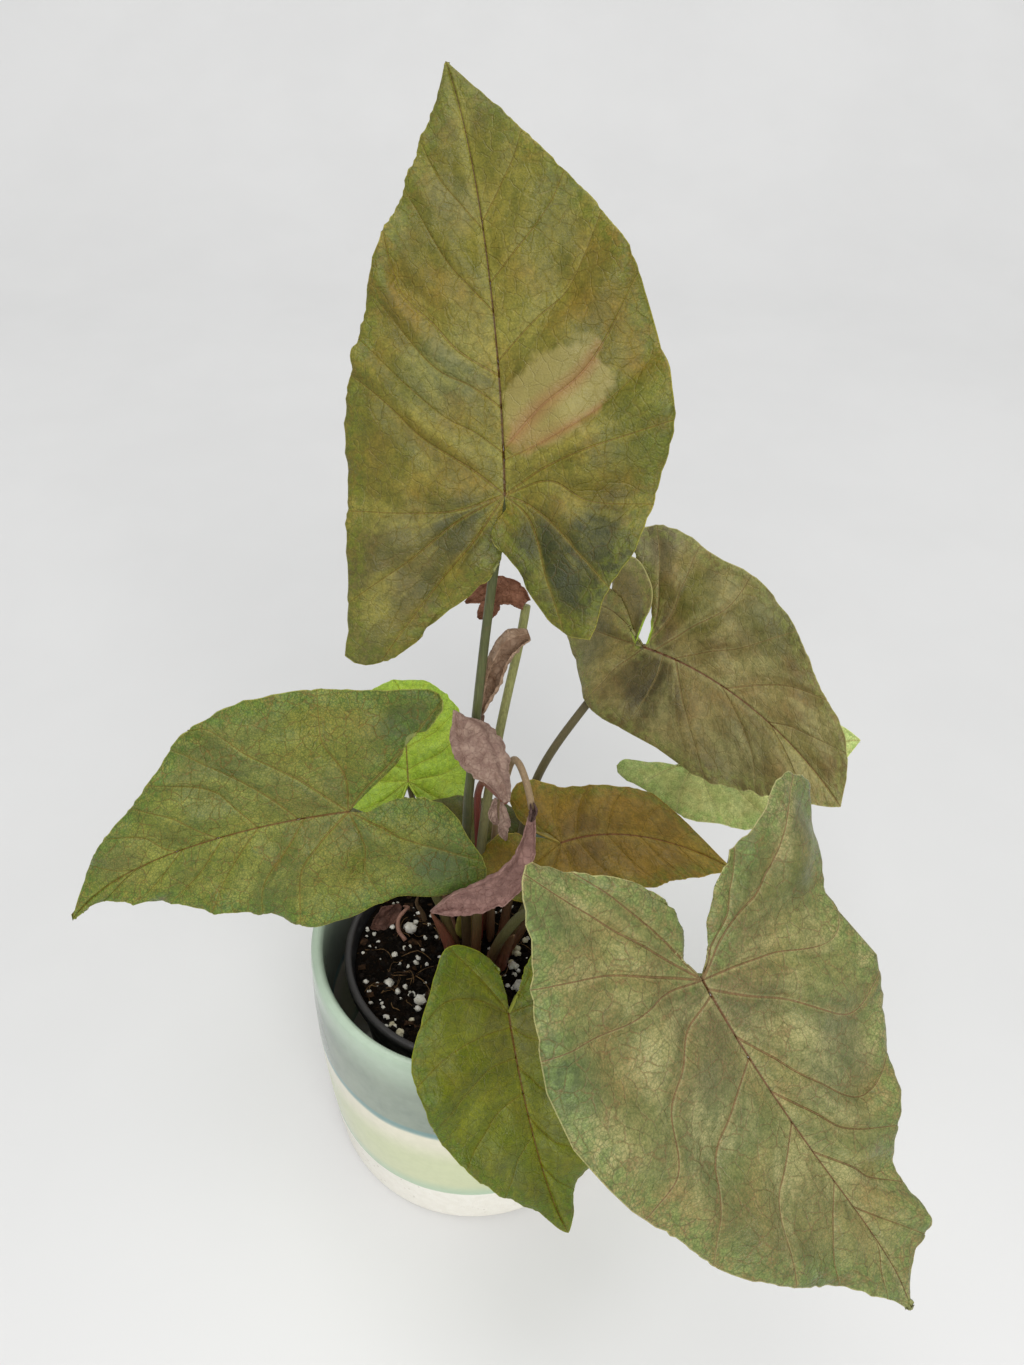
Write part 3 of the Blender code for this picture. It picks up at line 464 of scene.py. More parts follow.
def gridPlaces(lines, feet, pace):
    lobes = sum(line[0] == 0 for line in lines)
    places = []
    for number in range(lobes - 1):
        apart = np.linalg.norm(lines[number + 1][1][140] - lines[number][1][140])
        places.extend(number + spreadShares(max(5, round(apart / pace))))
    veinFeet = np.array([line[0] for line in lines[lobes - 1:]])
    return np.concatenate([places, [lobes - 1], lobes - 1 + np.interp(feet, veinFeet, np.arange(len(veinFeet)))])


# Distance of each place to a line, and the share of the line where it is nearest
def lineDistance(places, line):
    step = np.diff(line, axis=0)
    offset = places[:, :, None, :] - line[:-1]
    share = np.clip((offset * step).sum(axis=-1) / (step ** 2).sum(axis=-1), 0, 1)
    away = np.linalg.norm(offset - share[..., None] * step, axis=-1)
    return away.min(axis=-1), away.argmin(axis=-1) / len(step)


def halfBlade(leaf, side, seed, margin, lines, feet):
    pace, outCount = gridLarge if leaf["large"] else gridSmall
    length = leaf["tip"][1]
    grid = gridPlaces(lines, feet, pace)
    low = np.minimum(grid.astype(int), len(lines) - 2)
    share = grid - low
    s = np.linspace(0, 1, outCount + 1)
    out = 0.5 * s ** 1.5 + 0.5 * (1 - (1 - s) ** 1.3)
    sampled = np.array([[np.interp(out * 200, np.arange(201), line[1][:, k]) for k in range(2)] for line in lines])
    sampled = sampled.transpose(0, 2, 1)
    flat = sampled[low] * (1 - share)[:, None, None] + sampled[low + 1] * share[:, None, None]
    ends = np.array([line[2] for line in lines], float)
    index = ends[low] * (1 - share) + ends[low + 1] * share
    end = np.stack([np.interp(index, np.arange(len(margin)), margin[:, k]) for k in range(2)], axis=-1)
    footAlong = np.concatenate([np.zeros(len(grid) - len(feet)), feet])
    foot = np.stack([spineAcross(leaf, footAlong), footAlong], axis=-1)
    flat = flat + (end - flat[:, -1])[:, None, :] * (out ** 2)[None, :, None]
    flat = flat + (foot - flat[:, 0])[:, None, :] * ((1 - out) ** 2)[None, :, None]

    # Distances in mm to the veins, the midrib and the margin
    gridFull = np.broadcast_to(grid[:, None], flat.shape[:2])
    outFull = np.broadcast_to(out[None, :], flat.shape[:2])
    span = np.broadcast_to(np.linalg.norm(end - foot, axis=-1)[:, None], flat.shape[:2])
    alongLine = np.gradient(flat, axis=1)
    acrossLines = np.gradient(flat, axis=0) / np.maximum(np.gradient(grid), 1e-3)[:, None, None]
    alongUnit = alongLine / np.maximum(np.linalg.norm(alongLine, axis=-1), 1e-6)[..., None]
    spacing = np.abs(acrossLines[..., 0] * alongUnit[..., 1] - acrossLines[..., 1] * alongUnit[..., 0])
    veinDistance = np.full(flat.shape[:2], 50.0)
    veinRatio = np.full(flat.shape[:2], 50.0)
    for _, line, _, strength in lines[1:-1]:
        distance, nearest = lineDistance(flat, line[::4])
        width = (0.13 + 0.25 * strength) * (1.0 - 0.62 * nearest) * (0.6 + 0.4 * smoothStep(30, 90, length))
        veinRatio = np.minimum(veinRatio, distance / width)
        veinDistance = np.minimum(veinDistance, distance + 3.0 * (1 - strength))
    quilt = np.sin(math.pi * (gridFull - np.floor(gridFull - 1e-9))) ** 0.75
    quilt = np.where(np.isfinite(quilt), quilt, 0)
    marginDistance = np.linalg.norm(flat[:, :, None, :] - margin[None, None, ::3], axis=-1).min(axis=-1)
    marginDistance = np.where(outFull == 1, 0, marginDistance)
    ribDistance = np.where(flat[..., 1] > 0, np.abs(flat[..., 0] - spineAcross(leaf, flat[..., 1])),
                           np.linalg.norm(flat, axis=-1))
    ribDistance = np.where(outFull == 0, 0, ribDistance)

    # Relief: quilts between the veins, a wavy margin, broad undulation and fine crinkles
    phase = sum(leaf["joint"])
    round8 = np.interp(gridFull, [0, sum(line[0] == 0 for line in lines) - 1, len(lines) - 1], [0, 3, 8]) / 8
    belly = np.sin(math.pi * np.minimum(outFull * 1.05, 1)) ** 0.7
    flatness = np.minimum(1, spacing / 8) * np.minimum(1, span / 25)
    lift = bladeForm["quilt"] * leaf.get("quilt", 0.62) * quilt * belly * flatness
    hemWave = leaf["wave"] * outFull ** 3 * flatness
    lift = lift + hemWave * np.sin(2 * math.pi * bladeForm["marginWaves"] * round8 + phase)
    lift = lift + 0.35 * hemWave * np.sin(2 * math.pi * 10.35 * round8 + 2 * phase)
    calm = np.minimum(1, outFull * 2.5) * np.minimum(1, span / 25)
    lift = lift + bladeForm["undulation"] * ripples(flat[..., 0], flat[..., 1], 34.0, seed + 4) * calm
    lift = lift + bladeForm["ripple"] * ripples(flat[..., 0], flat[..., 1], 15.0, seed + 7) * calm
    lift = lift + bladeForm["crinkle"] * ripples(flat[..., 0], flat[..., 1], 6.5, seed + 5) * calm
    lift = lift * np.minimum(1, 6 * outFull)
    lift = lift - 0.35 * smoothStep(0.45, 0, ribDistance / 1.6) * (flat[..., 1] > 0)
    lift = lift - 0.20 * smoothStep(0.9, 0, veinRatio / 3.2) * smoothStep(0, 4, spacing)
    lift = lift - 0.5 * smoothStep(1.6, 0, marginDistance)
    lift = lift + leaf["lobeLift"][side == "left"] * np.maximum(0, -flat[..., 1])
    places = bladeSurface(leaf, flat[..., 0], flat[..., 1], lift) * mm

    ribWidth = 0.85 * (1 - 0.75 * np.clip(flat[..., 1] / length, 0, 1))
    hem = np.abs(marginDistance - 4.2 - 1.3 * ripples(gridFull * 6, 0 * gridFull, 5.0, seed + 6))
    ribUnder = np.maximum(smoothStep(1.5, 0.2, ribDistance / np.maximum(ribWidth, 0.2)),
                          0.45 * smoothStep(2.6, 0.5, veinRatio) * (1 - outFull))
    fields = {"veinRatio": veinRatio, "veinDistance": veinDistance, "ribRatio": ribDistance / ribWidth,
              "ribDistance": ribDistance, "marginDistance": marginDistance, "hemDistance": hem,
              "ribUnder": ribUnder}
    maps = {"bladeMap": flat * mm, "flowMap": np.stack([gridFull * 0.014, outFull * span * mm], axis=-1)}
    return places, fields, maps


# A lobe's inner edge that curls up and lies over the other lobe: share along the edge, across and along
def flapSheet(leaf, places, fields, maps):
    knots = np.array(leaf["flap"])
    share = np.linspace(0, 1, places.shape[1])
    edge = maps["bladeMap"][0] / mm
    knots[0, 1:] = [np.interp(knots[0, 0], share, edge[:, k]) for k in range(2)]
    outer = smoothLine(knots, 12)
    wanted = np.linspace(knots[0, 0], 1, 40)
    base = np.stack([np.interp(wanted, share, edge[:, k]) for k in range(2)], axis=-1)
    basePlace = np.stack([np.interp(wanted, share, places[0, :, k]) for k in range(3)], axis=-1)
    outer = np.stack([np.interp(wanted, outer[:, 0], outer[:, k]) for k in (1, 2)], axis=-1)
    t = np.linspace(0, 1, 17)
    flat = base[:, None, :] + (outer - base)[:, None, :] * t[None, :, None]
    width = np.linalg.norm(outer - base, axis=-1)
    rise = leaf["flapRise"] * smoothStep(0, 0.75, t)[None, :] * np.minimum(1, width / 9)[:, None]
    rise = rise + 0.3 * ripples(flat[..., 0], flat[..., 1], 9.0, 77) * t[None, :]
    level = bladeSurface(leaf, flat[..., 0], flat[..., 1], 0 * flat[..., 0]) * mm
    fixed = (basePlace - level[:, 0])[:, None, :] * (1 - t)[None, :, None]
    sheet = bladeSurface(leaf, flat[..., 0], flat[..., 1], rise) * mm + fixed
    far = np.broadcast_to(50.0, flat.shape[:2])
    edgeDistance = (1 - t)[None, :] * width[:, None] + 0 * flat[..., 0]
    sheetFields = {name: far for name in fields}
    sheetFields["marginDistance"] = edgeDistance
    sheetFields["ribUnder"] = 0 * far
    flow = np.stack([flat[..., 0], flat[..., 1]], axis=-1) * mm
    return sheet, sheetFields, {"bladeMap": flat * mm, "flowMap": flow}


def addHalf(shape, places, fields, maps, face):
    lineCount, outCount = places.shape[0] - 1, places.shape[1] - 1
    made = bmesh.ops.create_grid(shape, x_segments=lineCount, y_segments=outCount, size=0.5)["verts"]
    fieldLayers = {name: shape.verts.layers.float.get(name) for name in fields}
    mapLayers = {name: shape.loops.layers.uv.get(name) for name in maps}
    spots = {}
    for vertex in made:
        spots[vertex] = (round((vertex.co.x + 0.5) * lineCount), round((vertex.co.y + 0.5) * outCount))
        i, j = spots[vertex]
        vertex.co = places[i, j]
        for name, layer in fieldLayers.items():
            vertex[layer] = fields[name][i, j]
    faces = list({face for vertex in made for face in vertex.link_faces})
    for flatFace in faces:
        for loop in flatFace.loops:
            i, j = spots[loop.vert]
            for name, layer in mapLayers.items():
                loop[layer].uv = maps[name][i, j]
    shape.normal_update()
    if sum((f.normal * f.calc_area() for f in faces), Vector()).dot(Vector(face)) < 0:
        bmesh.ops.reverse_faces(shape, faces=faces)


def buildBlade(name, leaf, seed, materials):
    shape = bmesh.new()
    leaf["veins"] = sideVeins[name] if name in sideVeins else None
    seeds = {"right": seed, "left": seed + 20}
    margins = {side: bladeMargin(leaf, side, seeds[side]) for side in seeds}
    veins = {side: veinLines(leaf, side, *margins[side]) for side in seeds}
    feet = ribFeet(leaf, veins, (gridLarge if leaf["large"] else gridSmall)[0])
    halves = [halfBlade(leaf, side, seeds[side], margins[side][0], veins[side], feet) for side in seeds]
    for field in halves[0][1]:
        shape.verts.layers.float.new(field)
    for uvMap in halves[0][2]:
        shape.loops.layers.uv.new(uvMap)
    for places, fields, maps in halves:
        addHalf(shape, places, fields, maps, bladeAxes(leaf)[2])
    if "flap" in leaf:
        addHalf(shape, *flapSheet(leaf, *halves[0]), bladeAxes(leaf)[2])
    bmesh.ops.remove_doubles(shape, verts=shape.verts, dist=1.2e-5)
    bmesh.ops.dissolve_degenerate(shape, dist=1e-6, edges=shape.edges)
    ribLayer = shape.verts.layers.float.get("ribUnder")
    shape.verts.index_update()
    ribs = [(vertex.index, vertex[ribLayer]) for vertex in shape.verts]
    piece = finishPiece("blade_" + name, meshOf("blade_" + name, shape), ["leaf_" + name], materials)
    ribGroup = piece.vertex_groups.new(name="ribs")
    for index, weight in ribs:
        if weight > 0.01:
            ribGroup.add([index], weight, 'REPLACE')
    thick = piece.modifiers.new("thickness", 'SOLIDIFY')
    thick.thickness = bladeForm["thickness"] * mm
    thick.offset = -1
    thick.vertex_group = "ribs"
    thick.thickness_vertex_group = bladeForm["thinShare"]
    thick.material_offset = 1
    thick.material_offset_rim = 0
    return piece


# Leaf colours; the shade and sheen colours also serve as painted shade and painted sheen
leafLooks = {
    "top": dict(base=(0.209, 0.175, 0.022), shade=(0.122, 0.124, 0.011), sheen=(0.336, 0.300, 0.054),
                tan=(0.258, 0.163, 0.019), edge=(0.153, 0.175, 0.014), vein=(0.088, 0.032, 0.005),
                sideVein=(0.153, 0.069, 0.009), net=0.12, hem=0.15, edgeReach=9, shadeShare=0.55, paintedSheen=0.50, veinShare=0.50),
    "upper_right": dict(base=(0.273, 0.216, 0.071), shade=(0.139, 0.100, 0.018), sheen=(0.387, 0.351, 0.137),
                        tan=(0.222, 0.134, 0.035), edge=(0.254, 0.264, 0.066), vein=(0.160, 0.056, 0.024),
                        sideVein=(0.178, 0.091, 0.025), rim=(0.327, 0.476, 0.038), net=0.10, hem=0.15, edgeReach=7, shadeShare=0.60, paintedSheen=0.50, veinShare=0.60),
    "behind": dict(base=(0.597, 0.644, 0.218), shade=(0.391, 0.501, 0.158), sheen=(0.779, 0.789, 0.332),
                   tan=(0.573, 0.501, 0.165), edge=(0.441, 0.620, 0.165), vein=(0.391, 0.239, 0.104),
                   sideVein=(0.441, 0.360, 0.125), net=0.18, hem=0.3, edgeReach=6, shadeShare=0.60, paintedSheen=0.50, veinShare=0.40),
    "brown": dict(base=(0.320, 0.189, 0.018), shade=(0.192, 0.122, 0.013), sheen=(0.405, 0.284, 0.045),
                  tan=(0.361, 0.204, 0.026), edge=(0.207, 0.216, 0.018), vein=(0.192, 0.058, 0.013),
                  sideVein=(0.224, 0.104, 0.017), net=0.10, hem=0.1, edgeReach=6, shadeShare=0.50, paintedSheen=0.40, veinShare=0.40),
    "dark": dict(base=(0.107, 0.098, 0.011), shade=(0.058, 0.067, 0.006), sheen=(0.160, 0.155, 0.023),
                 tan=(0.118, 0.073, 0.009), edge=(0.075, 0.112, 0.012), vein=(0.064, 0.029, 0.006),
                 sideVein=(0.075, 0.052, 0.007), net=0.1, hem=0.1, edgeReach=5, shadeShare=0.60, paintedSheen=0.40, veinShare=0.40),
    "left": dict(base=(0.239, 0.245, 0.036), shade=(0.150, 0.184, 0.026), sheen=(0.346, 0.343, 0.067),
                 tan=(0.269, 0.224, 0.033), edge=(0.133, 0.228, 0.028), vein=(0.160, 0.071, 0.010),
                 sideVein=(0.190, 0.103, 0.016), net=0.42, hem=0.5, edgeReach=9, shadeShare=0.60, paintedSheen=0.55, veinShare=0.60),
    # The lime leaf's bright palette is partly its own lime colour and partly painted light that shines through it from
    # behind
    "lime": dict(base=(0.403, 0.585, 0.033), shade=(0.273, 0.434, 0.019), sheen=(0.511, 0.653, 0.064),
                 tan=(0.428, 0.513, 0.035), edge=(0.357, 0.563, 0.035), vein=(0.251, 0.178, 0.018),
                 sideVein=(0.357, 0.304, 0.025), net=0.15, hem=0.2, edgeReach=6, shadeShare=0.50, paintedSheen=0.40, veinShare=0.50),
    "small": dict(base=(0.148, 0.167, 0.002), shade=(0.089, 0.122, 0.001), sheen=(0.216, 0.223, 0.004),
                  tan=(0.161, 0.138, 0.002), edge=(0.103, 0.171, 0.002), vein=(0.128, 0.048, 0.001),
                  sideVein=(0.128, 0.089, 0.002), net=0.14, hem=0.2, edgeReach=7, shadeShare=0.60, paintedSheen=0.50, veinShare=0.55),
    "front": dict(base=(0.313, 0.278, 0.097), shade=(0.197, 0.221, 0.067), sheen=(0.470, 0.419, 0.185),
                  tan=(0.303, 0.206, 0.070), edge=(0.202, 0.278, 0.073), vein=(0.152, 0.064, 0.025),
                  sideVein=(0.197, 0.100, 0.039), net=0.32, hem=0.5, edgeReach=11, shadeShare=0.70, paintedSheen=0.60, veinShare=0.80),
}


# Zones of another colour, some of them painted sheen: across and along in mm, reach, colour, strength
leafZones = {
    "top": [(26, -20, 28, (0.036, 0.043, 0.008), 0.95), (9, -13, 13, (0.036, 0.043, 0.008), 0.8),
            (44, 18, 20, (0.150, 0.165, 0.014), 0.6), (-34, -20, 24, (0.105, 0.090, 0.034), 0.6),
            (-12, -10, 15, (0.060, 0.062, 0.018), 0.75), (-46, -42, 20, (0.120, 0.118, 0.036), 0.6),
            # The first zone on the next line is a pale grey-green painted sheen left of the midrib
            (-16, 36, 15, (0.210, 0.215, 0.095), 0.6), (18, 70, 13, (0.140, 0.125, 0.016), 0.3), (12, 88, 40, (0.262, 0.230, 0.030), 0.55),
            (0, 112, 16, (0.125, 0.105, 0.024), 0.6), (-8, 84, 12, (0.175, 0.165, 0.060), 0.5)],
    "upper_right": [(-38, -8, 17, (0.205, 0.178, 0.110), 0.75), (-22, 14, 17, (0.125, 0.118, 0.016), 0.8),
                    (-9, 3, 11, (0.070, 0.040, 0.012), 0.75), (12, 6, 20, (0.062, 0.044, 0.010), 0.85),
                    (4, -24, 14, (0.140, 0.130, 0.058), 0.6), (-30, 45, 20, (0.155, 0.160, 0.048), 0.7),
                    (20, 45, 18, (0.125, 0.105, 0.026), 0.5)],
    "front": [(0, 6, 30, (0.150, 0.110, 0.048), 0.75), (-36, -8, 22, (0.130, 0.130, 0.034), 0.7),
              (-52, -20, 14, (0.090, 0.100, 0.050), 0.7), (22, 30, 22, (0.210, 0.200, 0.090), 0.6),
              (-24, 42, 22, (0.220, 0.205, 0.105), 0.6), (18, 68, 24, (0.165, 0.150, 0.050), 0.6),
              (34, 88, 16, (0.150, 0.200, 0.030), 0.8), (50, -6, 16, (0.085, 0.130, 0.040), 0.7),
              (30, -44, 14, (0.090, 0.135, 0.045), 0.6)],
    "left": [(0, 8, 24, (0.130, 0.100, 0.036), 0.5), (26, 40, 26, (0.185, 0.185, 0.055), 0.7),
             (-22, 30, 20, (0.120, 0.130, 0.030), 0.5), (32, -28, 16, (0.085, 0.110, 0.036), 0.7),
             (-26, -32, 18, (0.070, 0.110, 0.036), 0.7), (8, 86, 16, (0.160, 0.150, 0.045), 0.6)],
    "small": [(0, 6, 20, (0.130, 0.100, 0.020), 0.5), (26, -6, 18, (0.150, 0.175, 0.014), 0.6),
              (-16, 40, 16, (0.120, 0.130, 0.026), 0.5), (18, 56, 14, (0.165, 0.170, 0.045), 0.5)],
    "brown": [(0, 10, 18, (0.165, 0.090, 0.024), 0.6), (16, -20, 12, (0.115, 0.115, 0.020), 0.6)],
}


def attributeValue(tree, name):
    return addNode(tree, 'ShaderNodeAttribute', attribute_name=name).outputs["Fac"]


def leafSkin(name, look):
    material, tree, shader = startMaterial("leaf_skin_" + name, 0.44, 0.32)
    flat = addNode(tree, 'ShaderNodeUVMap', uv_map="bladeMap").outputs[0]
    flow = addNode(tree, 'ShaderNodeUVMap', uv_map="flowMap").outputs[0]
    streak = addNode(tree, 'ShaderNodeMapping', {"Vector": flow, "Scale": (1.0, 0.35, 1.0)}).outputs[0]
    margin = attributeValue(tree, "marginDistance")

    def blotch(place, scale, low, high, detail=3.0):
        return useGroup(tree, groups["mottle"], {"Coordinate": place, "Scale": scale, "Detail": detail,
                                                 "Low": low, "High": high})

    def line(distance, width, strength):
        return useGroup(tree, groups["line"], {"Distance": distance, "Width": width, "Strength": strength})

    # Broad colour changes, zones of their own, dark streaks that are partly painted shade and partly a darker olive
    # tone, and painted sheen patches
    colour = mixColour(tree, mathNode(tree, 'MULTIPLY', blotch(flat, 45.0, 0.40, 0.66), 0.8), look["base"], look["tan"])
    colour = mixColour(tree, mathNode(tree, 'MULTIPLY', blotch(flat, 26.0, 0.48, 0.66), 0.28), colour, look["edge"])
    for x, y, reach, tint, strength in leafZones.get(name, []):
        mask = useGroup(tree, groups["zone"], {"Coordinate": flat, "Middle": (x * mm, y * mm, 0), "Reach": reach * mm,
                                               "Strength": strength})
        colour = mixColour(tree, mask, colour, tint)
    # Dark streaks along the veins: painted shade of the quilted relief, partly a darker olive tone
    shadeTint = tuple(0.82 * c / max(b, 0.001) for c, b in zip(look["shade"], look["base"]))
    dark = mathNode(tree, 'MULTIPLY', blotch(streak, 62.0, 0.43, 0.60, 4.0), look["shadeShare"])
    colour = mixColour(tree, dark, colour, shadeTint, 'MULTIPLY')
    # Pale patches of painted sheen, where the quilts would catch the light
    paintedSheen = mathNode(tree, 'MULTIPLY', blotch(streak, 84.0, 0.48, 0.64, 5.0), look["paintedSheen"])
    colour = mixColour(tree, paintedSheen, colour, look["sheen"])
    # Greener, mottled towards the margin
    reach = line(margin, look["edgeReach"], 1.0)
    mottled = mathNode(tree, 'MULTIPLY', reach, blotch(flat, 330.0, 0.40, 0.60))
    colour = mixColour(tree, mathNode(tree, 'MULTIPLY', mottled, 0.7), colour, look["edge"])
    # Brownish halo along the side veins, and the pale strip beside the midrib
    halo = line(attributeValue(tree, "veinDistance"), 2.8, 0.45 * look["veinShare"])
    colour = mixColour(tree, mathNode(tree, 'MULTIPLY', halo, blotch(flat, 90.0, 0.35, 0.6)), colour, look["tan"])
    ribDistance = attributeValue(tree, "ribDistance")
    colour = mixColour(tree, line(ribDistance, 3.0, 0.30), colour, look["sheen"])
    # Fine net, hem vein, side veins and midrib
    net = useGroup(tree, groups["net"], {"Coordinate": flat, "Scale": 230.0, "Line": 0.07, "Warp": 0.0022})
    fineNet = useGroup(tree, groups["net"], {"Coordinate": flat, "Scale": 950.0, "Line": 0.16, "Warp": 0.0008})
    patchy = blotch(flat, 120.0, 0.35, 0.6)
    netMask = mathNode(tree, 'MULTIPLY', mathNode(tree, 'MULTIPLY', net, patchy), min(1.0, 1.8 * look["net"]))
    colour = mixColour(tree, netMask, colour, look["sideVein"])
    darkNet = tuple(0.55 * c for c in look["edge"])
    fineMask = mathNode(tree, 'MULTIPLY', fineNet, mathNode(tree, 'ADD', mathNode(tree, 'MULTIPLY', reach, 0.22),
                                                            mathNode(tree, 'MULTIPLY', look["net"], 1.5)), True)
    colour = mixColour(tree, fineMask, colour, darkNet)
    colour = mixColour(tree, line(attributeValue(tree, "hemDistance"), 0.35, look["hem"] * 0.6), colour,
                       look["sideVein"])
    veinRatio = attributeValue(tree, "veinRatio")
    # A pale painted sheen beside the side veins
    colour = mixColour(tree, line(veinRatio, 3.2, 0.30), colour, look["sheen"])
    veinMask = mathNode(tree, 'MULTIPLY', line(veinRatio, 1.4, look["veinShare"]), blotch(flat, 60.0, 0.15, 0.45))
    colour = mixColour(tree, veinMask, colour, look["sideVein"])
    colour = mixColour(tree, line(attributeValue(tree, "ribRatio"), 0.7, 0.9), colour, look["vein"])
    # Mottle and grain, pale and dark specks, and a pale margin that is a painted highlight
    grain = blotch(flat, 1500.0, 0.30, 0.70, 2.0)
    fleck = blotch(flat, 420.0, 0.38, 0.62, 4.0)
    colour = mixColour(tree, mathNode(tree, 'MULTIPLY', grain, 0.6), colour, (0.55, 0.58, 0.52), 'MULTIPLY')
    colour = mixColour(tree, mathNode(tree, 'MULTIPLY', fleck, 0.6), colour, (0.60, 0.66, 0.56), 'MULTIPLY')
    pale = useGroup(tree, groups["specks"], {"Coordinate": flat, "Scale": 130.0, "Size": 0.07, "Share": 0.10})
    colour = mixColour(tree, mathNode(tree, 'MULTIPLY', pale, 0.6), colour, (0.50, 0.45, 0.22))
    spots = useGroup(tree, groups["specks"], {"Coordinate": streak, "Scale": 190.0, "Size": 0.10, "Share": 0.06})
    colour = mixColour(tree, mathNode(tree, 'MULTIPLY', spots, 0.7), colour, (0.03, 0.025, 0.012))
    if name == "top":
        colour = variegation(tree, flat, veinRatio, colour)
    # Painted highlight along the margin, brighter than the sheen colour
    colour = mixColour(tree, line(margin, 0.40, 0.42), colour, tuple(min(1.0, 1.5 * c) for c in look["sheen"]))
    if "rim" in look:
        nearStalk = useGroup(tree, groups["zone"], {"Coordinate": flat, "Middle": (-4 * mm, -2 * mm, 0), "Reach": 9 * mm})
        colour = mixColour(tree, mathNode(tree, 'MULTIPLY', line(margin, 1.5, 1.0), nearStalk), colour, look["rim"])
    tree.links.new(colour, shader.inputs["Base Color"])
    gloss = addNode(tree, 'ShaderNodeMapRange', {"Value": blotch(flat, 90.0, 0.35, 0.65), "To Min": 0.30,
                                                 "To Max": 0.46})
    tree.links.new(gloss.outputs[0], shader.inputs["Roughness"])
    height = mathNode(tree, 'SUBTRACT', mathNode(tree, 'MULTIPLY', grain, 0.35),
                      mathNode(tree, 'MULTIPLY', net, 0.5))
    height = mathNode(tree, 'SUBTRACT', height, line(veinRatio, 1.5, 0.6))
    addBump(tree, shader, height, 0.0003, 0.8)
    return material


# The cream and pink patch right of the top leaf's midrib
patchForm = dict(middle=(0.0165, 0.0275), size=(0.0205, 0.0125), turn=-0.62, cream=(0.310, 0.258, 0.084),
                 pink=(0.320, 0.150, 0.066))


def variegation(tree, flat, veinRatio, colour):
    centred = addNode(tree, 'ShaderNodeVectorMath', {0: flat, 1: (*patchForm["middle"], 0)}, operation='SUBTRACT')
    turned = addNode(tree, 'ShaderNodeVectorRotate', {"Vector": centred.outputs[0], "Angle": patchForm["turn"]},
                     rotation_type='Z_AXIS')
    scaled = addNode(tree, 'ShaderNodeVectorMath', {0: turned.outputs[0], 1: (*patchForm["size"], 1)},
                     operation='DIVIDE')
    ragged = addNode(tree, 'ShaderNodeTexNoise', {"Vector": flat, "Scale": 150.0, "Detail": 3.0})
    away = addNode(tree, 'ShaderNodeVectorMath', {0: scaled.outputs[0]}, operation='LENGTH')
    inside = mathNode(tree, 'ADD', away.outputs["Value"], mathNode(tree, 'MULTIPLY', ragged.outputs[0], 0.9))
    mask = addNode(tree, 'ShaderNodeMapRange', {"Value": inside, "From Min": 1.25, "From Max": 1.48, "To Min": 0.68,
                                                "To Max": 0.0}, interpolation_type='SMOOTHSTEP').outputs[0]
    rightHalf = addNode(tree, 'ShaderNodeSeparateXYZ', {0: flat}).outputs[0]
    mask = mathNode(tree, 'MULTIPLY', mask, mathNode(tree, 'GREATER_THAN', rightHalf, 0.0006))
    rosy = addNode(tree, 'ShaderNodeMapRange', {"Value": veinRatio, "From Min": -2.0, "From Max": 13.0})
    patch = mixColour(tree, rosy.outputs[0], patchForm["pink"], patchForm["cream"])
    return mixColour(tree, mask, colour, patch)


def leafUnderside(name, look):
    material, tree, shader = startMaterial("leaf_under_" + name, 0.6)
    flat = addNode(tree, 'ShaderNodeUVMap', uv_map="bladeMap").outputs[0]
    pale = tuple(0.5 * a + 0.5 * b for a, b in zip(look["base"], (0.25, 0.30, 0.14)))
    mottle = useGroup(tree, groups["mottle"], {"Coordinate": flat, "Scale": 110.0, "Low": 0.35, "High": 0.65})
    colour = mixColour(tree, mottle, pale, tuple(0.75 * a for a in pale))
    net = useGroup(tree, groups["net"], {"Coordinate": flat, "Scale": 230.0, "Line": 0.12, "Warp": 0.0022})
    colour = mixColour(tree, mathNode(tree, 'MULTIPLY', net, 0.4), colour, look["shade"])
    ribs = useGroup(tree, groups["line"], {"Distance": attributeValue(tree, "veinRatio"), "Width": 2.0,
                                           "Strength": 0.6})
    colour = mixColour(tree, ribs, colour, look["sheen"])
    tree.links.new(colour, shader.inputs["Base Color"])
    addBump(tree, shader, net, 0.0003, 0.6)
    return material


for number, (name, leaf) in enumerate(leaves.items()):
    look = leafLooks[name]
    buildBlade(name, leaf, 101 * (number + 1), [leafSkin(name, look), leafUnderside(name, look)])
print("leaves done")


